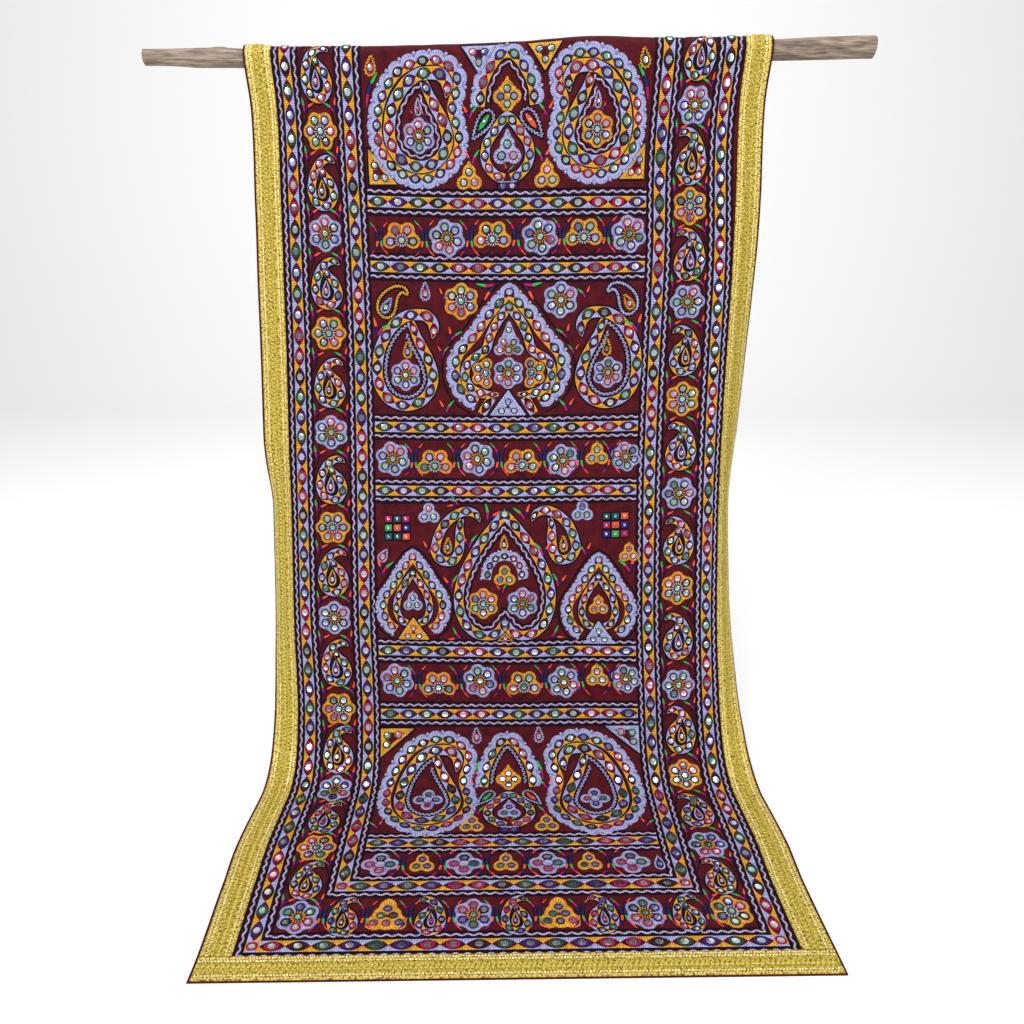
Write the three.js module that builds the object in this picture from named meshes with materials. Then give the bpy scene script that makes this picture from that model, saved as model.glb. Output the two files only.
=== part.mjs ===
// An embroidered wall tapestry laid over a plain wooden pole. Millimetres, +Z up, +X along the pole,
// the embroidered face towards -Y. The origin is the middle of the pole's axis.
// The cloth comes up from the floor, hangs against nothing, turns over the pole and drops a short way
// behind it. Gold lace is sewn on its face along all four sides.
import * as THREE from 'three';

// The cloth laid flat
const CLOTH_WIDTH = 920;
const HALF_WIDTH = CLOTH_WIDTH / 2;
const FRONT_LENGTH = 1780; // from the front hem up to the crest over the pole
const BACK_LENGTH = 303; // from the crest down to the far end behind the pole
const CLOTH_THICKNESS = 2;

// The gold lace, sewn on the cloth's face
const SIDE_LACE_WIDTH = 46;
const END_LACE_WIDTH = 40;
const LACE_THICKNESS = 1.2;
const LACE_INSET = 4; // bare cloth left outside the side lace
const END_INSET = 1.5; // and outside the lace at the two ends
const LACE_GAP = 0.35; // between the lace and the cloth's face
const BUTT_GAP = 0.6; // between a side lace and an end lace

// The pole, a debarked branch with sawn ends
const POLE_LENGTH = 1240;
const POLE_SIDES = 14;
const POLE_RINGS = 36;
const POLE_CLEARANCE = 2.4;
const POLE_OVAL = 0.035; // how far the branch is from round, as parts of its radius
const POLE_LOBES = 0.02;

// Radius and height of the branch's heart at places along X
const POLE_STATIONS = [
  { along: -620, radius: 12.2, rise: -7.5 },
  { along: -490, radius: 14.8, rise: -8.3 },
  { along: -390, radius: 13.8, rise: -10.8 },
  { along: -270, radius: 14.4, rise: -10.6 },
  { along: -105, radius: 14.8, rise: -8 },
  { along: 22, radius: 15.2, rise: -3.8 },
  { along: 150, radius: 15.8, rise: 3.6 },
  { along: 280, radius: 15.6, rise: 0.8 },
  { along: 430, radius: 15.8, rise: 3 },
  { along: 620, radius: 16.6, rise: 8 },
];
const POLE_TILT = 0.0144; // the steady rise of the branch to the right, per mm
const LUMP_REACH = 240; // how far below the pole its humps still shift the cloth

// Lean of the front fall from plumb, in degrees, by the way down from the level of the pole's axis
const FALL = [
  { along: 0, lean: 0 },
  { along: 220, lean: 0 },
  { along: 400, lean: 3 },
  { along: 600, lean: 8.5 },
  { along: 800, lean: 13 },
  { along: 1000, lean: 15 },
  { along: 1150, lean: 17 },
  { along: 1230, lean: 24 },
  { along: 1285, lean: 45 },
  { along: 1330, lean: 72 },
  { along: 1365, lean: 90 },
  { along: 1800, lean: 90 },
];

// How the width lies on the way down: the shift of the middle, half of the spread width, how far
// each edge turns back in degrees, the height of the soft ripples and the sag of the middle
const DRAPE = [
  { along: -300, shift: -2, half: 448, leftTurn: 10, rightTurn: 8, ripple: 2, sag: 0 },
  { along: 0, shift: -1, half: 446, leftTurn: 0, rightTurn: 0, ripple: 0, sag: 0 },
  { along: 80, shift: -1, half: 441, leftTurn: 0, rightTurn: 6, ripple: 0.8, sag: 2 },
  { along: 240, shift: -1, half: 450, leftTurn: 0, rightTurn: 10, ripple: 2.5, sag: 7 },
  { along: 400, shift: -2, half: 458, leftTurn: 0, rightTurn: 28, ripple: 3.5, sag: 7 },
  { along: 640, shift: -5, half: 462, leftTurn: 2, rightTurn: 50, ripple: 4.5, sag: 7 },
  { along: 790, shift: -6, half: 463, leftTurn: 38, rightTurn: 68, ripple: 4.5, sag: 7 },
  { along: 970, shift: -6, half: 462, leftTurn: 38, rightTurn: 60, ripple: 4.5, sag: 7 },
  { along: 1165, shift: 0, half: 459, leftTurn: 18, rightTurn: 40, ripple: 2.5, sag: 6 },
  { along: 1240, shift: 2, half: 461, leftTurn: 10, rightTurn: 22, ripple: 1.2, sag: 5 },
  { along: 1340, shift: 5, half: 464, leftTurn: 0, rightTurn: 0, ripple: 0, sag: 1 },
  { along: 1480, shift: 7, half: 469, leftTurn: 0, rightTurn: 0, ripple: 0, sag: 0 },
  { along: 1570, shift: 9, half: 464, leftTurn: 0, rightTurn: 0, ripple: 0, sag: 0 },
  { along: 1760, shift: 16, half: 459, leftTurn: 0, rightTurn: 0, ripple: 0, sag: 0 },
];
const PANEL_HALF = 274; // out to here from the middle the width keeps its flat size
const TURN_START = 360; // and from here on an edge turns back, as an arc
const WIDE_RIPPLE = { length: 318, turn: 0.9, drift: 910 };
const FINE_RIPPLE = { length: 187, turn: 2.1, drift: -640, share: 0.55 };

// The arc over the pole, measured along the cloth each way from the crest
const ARC_LENGTH = 32;
const ARC_STEPS = 5;

// Grid lines of the sheets. The lace keeps to the cloth's own lines.
const LACE_OUT = HALF_WIDTH - LACE_INSET;
const LACE_MIDDLE = LACE_OUT - SIDE_LACE_WIDTH / 2;
const LACE_IN = LACE_OUT - SIDE_LACE_WIDTH;
const HALF_COLUMNS = [60, 120, 180, 235, 285, 325, 360, 385, LACE_IN, LACE_MIDDLE, LACE_OUT, HALF_WIDTH];
const ROW_STEPS = [
  { from: -BACK_LENGTH, to: -ARC_LENGTH, steps: 6 },
  { from: -ARC_LENGTH, to: ARC_LENGTH, steps: 2 * ARC_STEPS },
  { from: ARC_LENGTH, to: 1150 + ARC_LENGTH, steps: 20 },
  { from: 1150 + ARC_LENGTH, to: 1365 + ARC_LENGTH, steps: 12 },
  { from: 1365 + ARC_LENGTH, to: FRONT_LENGTH, steps: 4 },
];

// Reads a column of a table at any place, on a smooth curve that never overshoots its rows
function read(table, column, at) {
  const last = table.length - 1;
  if (at <= table[0].along) return table[0][column];
  if (at >= table[last].along) return table[last][column];
  const slope = (i) => (table[i + 1][column] - table[i][column]) / (table[i + 1].along - table[i].along);
  const tangent = (i) => {
    if (i === 0 || i === last) return 0;
    const before = slope(i - 1);
    const after = slope(i);
    return before * after > 0 ? (2 * before * after) / (before + after) : 0;
  };
  const i = table.findIndex((row) => row.along > at) - 1;
  const span = table[i + 1].along - table[i].along;
  const t = (at - table[i].along) / span;
  const ease = t * t * (3 - 2 * t);
  const out = t * (1 - t) * (1 - t) * tangent(i);
  const back = t * t * (1 - t) * tangent(i + 1);
  return table[i][column] * (1 - ease) + table[i + 1][column] * ease + span * (out - back);
}

// The front fall's side view: how far it has come forward and down after each millimetre of cloth
const FALL_END = FRONT_LENGTH + 20;
const fallPath = [{ forward: 0, down: 0 }];
for (let along = 0; along < FALL_END; along += 1) {
  const lean = THREE.MathUtils.degToRad(read(FALL, 'lean', along + 0.5));
  const before = fallPath[along];
  fallPath.push({ forward: before.forward + Math.sin(lean), down: before.down + Math.cos(lean) });
}

function fallAt(along) {
  if (along <= 0) return { forward: 0, down: along, lean: 0 };
  const i = Math.floor(along);
  const t = along - i;
  return {
    forward: THREE.MathUtils.lerp(fallPath[i].forward, fallPath[i + 1].forward, t),
    down: THREE.MathUtils.lerp(fallPath[i].down, fallPath[i + 1].down, t),
    lean: THREE.MathUtils.degToRad(read(FALL, 'lean', along)),
  };
}

// The pole's section: slightly oval with low lobes that wander along its length
function poleReach(along, angle) {
  const oval = POLE_OVAL * Math.cos(2 * angle + 0.004 * along);
  const lobes = POLE_LOBES * Math.cos(3 * angle - 0.006 * along + 1);
  return read(POLE_STATIONS, 'radius', along) * (1 + oval + lobes);
}

// Radius of the cloth's underside over the pole
function wrapRadius(along) {
  return read(POLE_STATIONS, 'radius', along) * (1 + POLE_OVAL + POLE_LOBES) + POLE_CLEARANCE;
}

// Where the width puts a point: sideways, and out from the face where ripples lift it or the edge
// turns back
function acrossAt(u, down) {
  const side = Math.sign(u);
  const ease = (read(DRAPE, 'half', down) - PANEL_HALF) / (HALF_WIDTH - PANEL_HALF);
  const spread = Math.abs(u) > PANEL_HALF ? PANEL_HALF + (Math.abs(u) - PANEL_HALF) * ease : Math.abs(u);
  const column = side < 0 ? 'leftTurn' : 'rightTurn';
  const turn = THREE.MathUtils.degToRad(read(DRAPE, column, down)) / (HALF_WIDTH - TURN_START);
  const past = Math.max(0, spread - TURN_START);
  const bent = turn * past > 1e-6;
  const reach = bent ? spread - past + Math.sin(turn * past) / turn : spread;
  const back = bent ? (1 - Math.cos(turn * past)) / turn : 0;
  const wide = Math.sin((2 * Math.PI * u) / WIDE_RIPPLE.length + WIDE_RIPPLE.turn + down / WIDE_RIPPLE.drift);
  const fine = Math.sin((2 * Math.PI * u) / FINE_RIPPLE.length + FINE_RIPPLE.turn + down / FINE_RIPPLE.drift);
  const height = read(DRAPE, 'ripple', down) * (wide + FINE_RIPPLE.share * fine);
  return { sideways: read(DRAPE, 'shift', down) + side * reach, out: height - back };
}

// A point of the cloth's underside. u runs across from the middle, q along the cloth from the crest,
// positive down the front.
function underside(u, q) {
  const radius = wrapRadius(u);
  const rise = read(POLE_STATIONS, 'rise', u);
  if (Math.abs(q) <= ARC_LENGTH) {
    const angle = (q / ARC_LENGTH) * (Math.PI / 2);
    const { sideways } = acrossAt(u, 0);
    return new THREE.Vector3(sideways, -radius * Math.sin(angle), rise + radius * Math.cos(angle));
  }
  const past = Math.abs(q) - ARC_LENGTH;
  const hump = (rise - POLE_TILT * u) * Math.exp(-((past / LUMP_REACH) ** 2));
  const settled = THREE.MathUtils.smoothstep(past, 0, 4 * LUMP_REACH);
  if (q < 0) {
    const { sideways, out } = acrossAt(u, -past);
    return new THREE.Vector3(sideways, radius + out, rise - past);
  }
  const { sideways, out } = acrossAt(u, past);
  const sag = read(DRAPE, 'sag', past) * (1 - (u / HALF_WIDTH) ** 2);
  const fall = fallAt(past - POLE_TILT * u - hump + sag);
  const forward = THREE.MathUtils.lerp(radius, wrapRadius(0), settled) + fall.forward;
  return new THREE.Vector3(
    sideways,
    -forward - out * Math.cos(fall.lean),
    -fall.down + out * Math.sin(fall.lean),
  );
}

// The same point, lifted off the underside along the face's normal
function clothPoint(u, q, lift) {
  const step = 0.5;
  const across = underside(u + step, q).sub(underside(u - step, q));
  const along = underside(u, q + step).sub(underside(u, q - step));
  const normal = along.cross(across).normalize();
  return underside(u, q).addScaledVector(normal, lift);
}

// One closed sheet between two lifts over a grid of columns and rows
function sheetGeometry(columns, rows, low, high) {
  const width = columns.length;
  const layer = width * rows.length;
  const places = [];
  for (const lift of [low, high]) {
    for (const q of rows) {
      for (const u of columns) places.push(...clothPoint(u, q, lift).toArray());
    }
  }
  const triangles = [];
  const quad = (a, b, c, d) => triangles.push(a, b, c, a, c, d);
  for (let j = 0; j + 1 < rows.length; j += 1) {
    for (let i = 0; i + 1 < width; i += 1) {
      const a = j * width + i;
      const b = a + 1;
      const c = b + width;
      const d = a + width;
      quad(a, b, c, d);
      triangles.push(a + layer, d + layer, c + layer, a + layer, c + layer, b + layer);
    }
  }
  for (let i = 0; i + 1 < width; i += 1) {
    const far = layer - width + i;
    quad(i, i + layer, i + 1 + layer, i + 1);
    quad(far, far + 1, far + 1 + layer, far + layer);
  }
  for (let j = 0; j + 1 < rows.length; j += 1) {
    const left = j * width;
    const right = left + width - 1;
    quad(left, left + width, left + width + layer, left + layer);
    quad(right, right + layer, right + width + layer, right + width);
  }
  const geometry = new THREE.BufferGeometry();
  geometry.setAttribute('position', new THREE.Float32BufferAttribute(places, 3));
  geometry.setIndex(triangles);
  geometry.computeVertexNormals();
  return geometry;
}

// The pole, ring by ring between two flat sawn ends
function poleGeometry() {
  const places = [];
  const triangles = [];
  for (let ring = 0; ring <= POLE_RINGS; ring += 1) {
    const along = POLE_LENGTH * (ring / POLE_RINGS - 0.5);
    const rise = read(POLE_STATIONS, 'rise', along);
    for (let side = 0; side < POLE_SIDES; side += 1) {
      const angle = (2 * Math.PI * side) / POLE_SIDES;
      const reach = poleReach(along, angle);
      places.push(along, reach * Math.cos(angle), rise + reach * Math.sin(angle));
    }
  }
  for (let ring = 0; ring < POLE_RINGS; ring += 1) {
    for (let side = 0; side < POLE_SIDES; side += 1) {
      const a = ring * POLE_SIDES + side;
      const b = ring * POLE_SIDES + ((side + 1) % POLE_SIDES);
      triangles.push(a, b + POLE_SIDES, a + POLE_SIDES, a, b, b + POLE_SIDES);
    }
  }
  for (const [ring, flip] of [[0, true], [POLE_RINGS, false]]) {
    const along = POLE_LENGTH * (ring / POLE_RINGS - 0.5);
    const heart = places.length / 3;
    places.push(along, 0, read(POLE_STATIONS, 'rise', along));
    for (let side = 0; side < POLE_SIDES; side += 1) {
      const a = ring * POLE_SIDES + side;
      const b = ring * POLE_SIDES + ((side + 1) % POLE_SIDES);
      triangles.push(heart, ...(flip ? [b, a] : [a, b]));
    }
  }
  const geometry = new THREE.BufferGeometry();
  geometry.setAttribute('position', new THREE.Float32BufferAttribute(places, 3));
  geometry.setIndex(triangles);
  geometry.computeVertexNormals();
  return geometry;
}

const columns = [...HALF_COLUMNS.map((u) => -u).reverse(), 0, ...HALF_COLUMNS];
const rows = [-BACK_LENGTH];
for (const { from, to, steps } of ROW_STEPS) {
  for (let i = 1; i <= steps; i += 1) rows.push(from + ((to - from) * i) / steps);
}

const clothMaterial = new THREE.MeshStandardMaterial({ color: 0x5f1620, roughness: 0.88, metalness: 0 });
const laceMaterial = new THREE.MeshStandardMaterial({ color: 0xc9a227, roughness: 0.42, metalness: 0.6 });
const woodMaterial = new THREE.MeshStandardMaterial({ color: 0x8a7a66, roughness: 0.85, metalness: 0 });

const tapestry = new THREE.Group();

function addPiece(name, geometry, material) {
  const mesh = new THREE.Mesh(geometry, material);
  mesh.name = name;
  tapestry.add(mesh);
}

addPiece('pole', poleGeometry(), woodMaterial);
addPiece('ground_cloth', sheetGeometry(columns, rows, 0, CLOTH_THICKNESS), clothMaterial);

const laceLow = CLOTH_THICKNESS + LACE_GAP;
const laceHigh = laceLow + LACE_THICKNESS;
const frontLace = FRONT_LENGTH - END_INSET - END_LACE_WIDTH;
const backLace = -BACK_LENGTH + END_INSET + END_LACE_WIDTH;
const sideRows = [
  backLace + BUTT_GAP,
  ...rows.filter((q) => q > backLace + BUTT_GAP && q < frontLace - BUTT_GAP),
  frontLace - BUTT_GAP,
];
const endColumns = columns.filter((u) => Math.abs(u) <= LACE_OUT);
const sideLace = [LACE_IN, LACE_MIDDLE, LACE_OUT];
const leftLace = sideLace.map((u) => -u).reverse();
addPiece('border_left', sheetGeometry(leftLace, sideRows, laceLow, laceHigh), laceMaterial);
addPiece('border_right', sheetGeometry(sideLace, sideRows, laceLow, laceHigh), laceMaterial);
const frontRows = [frontLace, FRONT_LENGTH - END_INSET];
const backRows = [-BACK_LENGTH + END_INSET, backLace];
addPiece('border_front', sheetGeometry(endColumns, frontRows, laceLow, laceHigh), laceMaterial);
addPiece('border_back', sheetGeometry(endColumns, backRows, laceLow, laceHigh), laceMaterial);

export default tapestry;
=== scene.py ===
# %% [markdown]
# A hand-embroidered hanging, laid over a branch. The solids give the pole, the ground cloth and four
# strips of gold lace. Here they get their finish, and the needlework is added: chain stitch in lilac
# and orange, dark couched outlines, and some 1,660 small mirror discs in buttonholed rings.
#
# All of the needlework is first laid out flat, as it was when it was sewn, in millimetres across (u)
# and up from the front hem (v). One function then drapes it. That way a motif is drawn once, on a
# flat sheet, and still follows every fold of the cloth.

# %% Load the solids
import math
import random

import bpy
import numpy as np
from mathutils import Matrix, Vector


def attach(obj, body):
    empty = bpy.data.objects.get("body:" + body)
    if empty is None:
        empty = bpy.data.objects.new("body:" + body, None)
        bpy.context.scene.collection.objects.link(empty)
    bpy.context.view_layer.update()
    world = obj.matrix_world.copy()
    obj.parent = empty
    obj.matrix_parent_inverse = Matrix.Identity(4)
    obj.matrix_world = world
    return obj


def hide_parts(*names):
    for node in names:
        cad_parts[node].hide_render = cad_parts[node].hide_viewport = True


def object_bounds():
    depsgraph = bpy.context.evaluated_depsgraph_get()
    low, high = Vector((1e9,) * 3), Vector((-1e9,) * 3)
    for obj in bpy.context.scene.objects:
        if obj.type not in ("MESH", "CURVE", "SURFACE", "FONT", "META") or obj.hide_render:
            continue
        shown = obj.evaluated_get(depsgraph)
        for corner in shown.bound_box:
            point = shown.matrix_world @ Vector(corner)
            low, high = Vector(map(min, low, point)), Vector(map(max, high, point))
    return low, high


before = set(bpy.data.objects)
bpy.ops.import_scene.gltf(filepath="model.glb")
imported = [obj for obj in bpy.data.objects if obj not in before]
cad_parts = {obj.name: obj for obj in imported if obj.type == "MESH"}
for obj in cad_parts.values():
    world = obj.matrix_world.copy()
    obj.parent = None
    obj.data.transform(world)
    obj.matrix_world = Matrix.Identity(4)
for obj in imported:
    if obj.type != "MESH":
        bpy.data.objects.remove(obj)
cad_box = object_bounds()
MM = 0.001
chance = random.Random(7)
bpy.ops.object.select_all(action="DESELECT")
print("solids:", ", ".join(sorted(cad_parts)))

# %% [markdown]
# The drape is a function of two lengths: u, across the cloth from its middle, and q, along it from
# the crest over the pole, positive down the front. A short table gives the lean of the fall on its
# way down, and a second one how the width lies there: its shift, its spread, how far each edge turns
# back, and the height of the soft ripples. Reading both through one smooth curve keeps the sheet
# free of kinks.

# %% Sizes of the cloth and the tables of its fall
CLOTH_WIDTH = 920.0
HALF_WIDTH = CLOTH_WIDTH / 2
FRONT_LENGTH = 1780.0
BACK_LENGTH = 303.0
CLOTH_LENGTH = FRONT_LENGTH + BACK_LENGTH
CLOTH_THICKNESS = 2.0
POLE_STATIONS = {
    "along": [-620, -490, -390, -270, -105, 22, 150, 280, 430, 620],
    "radius": [12.2, 14.8, 13.8, 14.4, 14.8, 15.2, 15.8, 15.6, 15.8, 16.6],
    "rise": [-7.5, -8.3, -10.8, -10.6, -8, -3.8, 3.6, 0.8, 3, 8],
}
FALL = {
    "along": [0, 220, 400, 600, 800, 1000, 1150, 1230, 1285, 1330, 1365, 1800],
    "lean": [0, 0, 3, 8.5, 13, 15, 17, 24, 45, 72, 90, 90],
}
DRAPE = {
    "along": [-300, 0, 80, 240, 400, 640, 790, 970, 1165, 1240, 1340, 1480, 1570, 1760],
    "shift": [-2, -1, -1, -1, -2, -5, -6, -6, 0, 2, 5, 7, 9, 16],
    "half": [448, 446, 441, 450, 458, 462, 463, 462, 459, 461, 464, 469, 464, 459],
    "left_turn": [10, 0, 0, 0, 0, 2, 38, 38, 18, 10, 0, 0, 0, 0],
    "right_turn": [8, 0, 6, 10, 28, 50, 68, 60, 40, 22, 0, 0, 0, 0],
    "ripple": [2, 0, 0.8, 2.5, 3.5, 4.5, 4.5, 4.5, 2.5, 1.2, 0, 0, 0, 0],
    "sag": [0, 0, 2, 7, 7, 7, 7, 7, 6, 5, 1, 0, 0, 0],
}
POLE_CLEARANCE = 2.4
POLE_ROUGHNESS = 0.055
POLE_TILT = 0.0144
LUMP_REACH = 240.0
PANEL_HALF = 274.0
TURN_START = 360.0
ARC_LENGTH = 32.0
RIPPLES = {"width": [318, 187], "start": [0.9, 2.1], "drift": [910, -640], "share": [1.0, 0.55]}


def read(table, column, at):
    """Reads a column of a table at any place, on a smooth curve that never overshoots its rows."""
    x = np.array(table["along"], float)
    y = np.array(table[column], float)
    slope = np.diff(y) / np.diff(x)
    before, after = slope[:-1], slope[1:]
    tangent = np.zeros(len(x))
    steady = before * after > 0
    tangent[1:-1][steady] = 2 * before[steady] * after[steady] / (before[steady] + after[steady])
    at = np.clip(at, x[0], x[-1])
    i = np.clip(np.searchsorted(x, at, side="right") - 1, 0, len(x) - 2)
    span = x[i + 1] - x[i]
    t = (at - x[i]) / span
    ease = t * t * (3 - 2 * t)
    leave = t * (1 - t) ** 2 * tangent[i]
    arrive = t * t * (1 - t) * tangent[i + 1]
    return y[i] * (1 - ease) + y[i + 1] * ease + span * (leave - arrive)


# %% The cloth's underside as a function
def smooth_step(x):
    x = np.clip(x, 0, 1)
    return x * x * (3 - 2 * x)


def fall_path():
    """The side view of the front fall: forward and down after each millimetre of cloth."""
    lean = np.radians(read(FALL, "lean", np.arange(0, FRONT_LENGTH + 20) + 0.5))
    forward = np.concatenate([[0], np.cumsum(np.sin(lean))])
    down = np.concatenate([[0], np.cumsum(np.cos(lean))])
    return forward, down


PATH_FORWARD, PATH_DOWN = fall_path()


def across(u, down):
    """Where the width puts a point: sideways, and out from the face."""
    spread = np.abs(u)
    ease = (read(DRAPE, "half", down) - PANEL_HALF) / (HALF_WIDTH - PANEL_HALF)
    spread = np.where(spread > PANEL_HALF, PANEL_HALF + (spread - PANEL_HALF) * ease, spread)
    turn = np.where(u < 0, read(DRAPE, "left_turn", down), read(DRAPE, "right_turn", down))
    turn = np.maximum(np.radians(turn) / (HALF_WIDTH - TURN_START), 1e-9)
    past = np.maximum(0, spread - TURN_START)
    reach = spread - past + np.sin(turn * past) / turn
    back = (1 - np.cos(turn * past)) / turn
    waves = sum(share * np.sin(2 * np.pi * u / width + start + down / drift)
                for width, start, drift, share in zip(*RIPPLES.values()))
    height = read(DRAPE, "ripple", down) * waves
    return read(DRAPE, "shift", down) + np.sign(u) * reach, height - back


def underside(u, q):
    """Places in millimetres, from the pole's axis, of points on the underside of the cloth."""
    radius = read(POLE_STATIONS, "radius", u) * (1 + POLE_ROUGHNESS) + POLE_CLEARANCE
    middle = read(POLE_STATIONS, "radius", 0.0) * (1 + POLE_ROUGHNESS) + POLE_CLEARANCE
    rise = read(POLE_STATIONS, "rise", u)
    past = np.abs(q) - ARC_LENGTH
    over = past <= 0
    angle = q / ARC_LENGTH * np.pi / 2
    down = np.where(over, 0, np.where(q < 0, -past, past))
    sideways, out = across(u, down)
    hump = (rise - POLE_TILT * u) * np.exp(-((past / LUMP_REACH) ** 2))
    sag = read(DRAPE, "sag", past) * (1 - (u / HALF_WIDTH) ** 2)
    way = past - POLE_TILT * u - hump + sag
    steps = np.arange(len(PATH_DOWN))
    forward = np.interp(way, steps, PATH_FORWARD)
    drop = np.where(way < 0, way, np.interp(way, steps, PATH_DOWN))
    lean = np.radians(read(FALL, "lean", way))
    stand = radius + (middle - radius) * smooth_step(past / (4 * LUMP_REACH))
    y = np.where(q < 0, radius + out, -stand - forward - out * np.cos(lean))
    z = np.where(q < 0, rise - past, -drop + out * np.sin(lean))
    y = np.where(over, -radius * np.sin(angle), y)
    z = np.where(over, rise + radius * np.cos(angle), z)
    return np.stack([sideways, y, z], axis=-1)


# %% [markdown]
# Draping half a million corners one by one would be slow. So the function is worked out once on a
# fine grid, with the face's normal at each crossing, and every later point is read between four
# crossings.

# %% Drape anything that was laid out flat
U_STEP, Q_STEP = 5.0, 2.0
U_GRID = np.arange(-HALF_WIDTH, HALF_WIDTH + U_STEP, U_STEP)
Q_GRID = np.arange(-BACK_LENGTH - 1, FRONT_LENGTH + 2 * Q_STEP, Q_STEP)
GRID_POINTS = underside(*np.meshgrid(U_GRID, Q_GRID))
GRID_NORMALS = np.cross(np.gradient(GRID_POINTS, axis=0), np.gradient(GRID_POINTS, axis=1))
GRID_NORMALS /= np.linalg.norm(GRID_NORMALS, axis=-1, keepdims=True)


def drape(flat):
    """Flat points (u, v, height over the face), in millimetres, to places in metres."""
    column = np.clip((flat[:, 0] - U_GRID[0]) / U_STEP, 0, len(U_GRID) - 1.001)
    row = np.clip((FRONT_LENGTH - flat[:, 1] - Q_GRID[0]) / Q_STEP, 0, len(Q_GRID) - 1.001)
    i, j = column.astype(int), row.astype(int)
    s, t = (column - i)[:, None], (row - j)[:, None]

    def between(grid):
        near = grid[j, i] * (1 - s) + grid[j, i + 1] * s
        far = grid[j + 1, i] * (1 - s) + grid[j + 1, i + 1] * s
        return near * (1 - t) + far * t

    return (between(GRID_POINTS) + between(GRID_NORMALS) * (CLOTH_THICKNESS + flat[:, 2:3])) * MM


print("hem at", drape(np.array([[0.0, 0.0, 0.0]])).round(3).tolist())

# %% [markdown]
# Needlework is kept as sheets of corners and triangles, one pile for each kind of thread. A motif
# is a pile of its own, and sewing it on copies it with a turn, a size and perhaps a flip. Each
# corner also carries two lengths along and across its thread, which become the UV map that the
# stitches of the material follow, and a dye for threads that change colour from motif to motif.

# %% A pile of flat work
DYES = {
    "green": (0.030, 0.36, 0.075),
    "deep_green": (0.008, 0.085, 0.055),
    "magenta": (0.44, 0.006, 0.090),
    "red": (0.83, 0.080, 0.022),
    "violet": (0.034, 0.014, 0.22),
    "indigo": (0.020, 0.009, 0.105),
    "dark": (0.014, 0.008, 0.026),
    "teal": (0.010, 0.085, 0.11),
    "shade": (0.14, 0.13, 0.42),
    "amber": (0.46, 0.15, 0.004),
    "orange": (0.80, 0.33, 0.010),
    "pale": (0.66, 0.62, 0.74),
    # The glass dyes are painted reflection: each disc's tone, from white to dim, stands in for how brightly
    # it reflects the room.
    "clear glass": (0.97, 0.98, 0.97),
    "green glass": (0.55, 0.70, 0.65),
    "grey glass": (0.72, 0.75, 0.76),
    "dim glass": (0.24, 0.29, 0.28),
}
RING_DYES = ["violet", "magenta", "deep_green", "dark", "violet", "deep_green", "magenta"]


class Work:
    """Flat needlework, as a pile of sheets for each kind of thread."""

    def __init__(self):
        self.piles = {}

    def add(self, thread, points, triangles, along=None, dye="dark"):
        points = np.asarray(points, float)
        along = points[:, :2] if along is None else np.asarray(along, float)
        colour = np.tile(DYES[dye], (len(points), 1))
        self.piles.setdefault(thread, []).append((points, np.asarray(triangles, int), along, colour))

    def merged(self, thread):
        """All the sheets of a thread as one: points, triangles, marks along the thread and colours."""
        points, triangles, marks, colours = zip(*self.piles[thread])
        starts = np.cumsum([0] + [len(sheet) for sheet in points[:-1]])
        joined = np.concatenate([sheet + start for sheet, start in zip(triangles, starts)])
        return np.concatenate(points), joined, np.concatenate(marks), np.concatenate(colours)

    def sew(self, stamp, u, v, turn=0.0, size=1.0, flip=False):
        """Copies a stamp's work to (u, v)."""
        c, s = math.cos(math.radians(turn)) * size, math.sin(math.radians(turn)) * size
        matrix = np.array([[c, s], [-s, c]])
        if flip:
            matrix = np.diag([-1.0, 1.0]) @ matrix
        for thread in stamp.piles:
            points, triangles, along, colour = stamp.merged(thread)
            moved = np.column_stack([points[:, :2] @ matrix + (u, v), points[:, 2]])
            if flip:
                triangles = triangles[:, ::-1]
            self.piles.setdefault(thread, []).append((moved, triangles, along, colour))


# %% [markdown]
# Three tools make nearly all of the stitching. A cord is a low ridge along a path. A ribbon fills
# the ground between two paths, as satin stitch does. A Route is a path that can be read by length,
# with any set-off to its side.

# %% Routes, cords and ribbons
def marks_along(path):
    """The length walked at each point of a path."""
    return np.concatenate([[0], np.cumsum(np.linalg.norm(np.diff(path, axis=0), axis=1))])


def unit_normals(path, closed):
    if closed:
        tangent = np.roll(path, -1, axis=0) - np.roll(path, 1, axis=0)
    else:
        tangent = np.gradient(path, axis=0)
    length = np.maximum(np.linalg.norm(tangent, axis=1, keepdims=True), 1e-9)
    return np.column_stack([-tangent[:, 1], tangent[:, 0]]) / length


class Route:
    """A path that is walked by its length."""

    def __init__(self, path, closed=False):
        path = np.asarray(path, float)
        normals = unit_normals(path, closed)
        if closed:
            path, normals = np.vstack([path, path[:1]]), np.vstack([normals, normals[:1]])
        self.path, self.normals, self.closed = path, normals, closed
        self.marks = marks_along(path)
        self.length = self.marks[-1]

    def place(self, s, side=0.0):
        """Points after lengths s, set off to the left of travel by side."""
        s = np.mod(s, self.length) if self.closed else np.clip(s, 0, self.length)
        at = np.column_stack([np.interp(s, self.marks, self.path[:, k]) for k in (0, 1)])
        normal = np.column_stack([np.interp(s, self.marks, self.normals[:, k]) for k in (0, 1)])
        return at + normal * np.reshape(side, (-1, 1))


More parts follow.
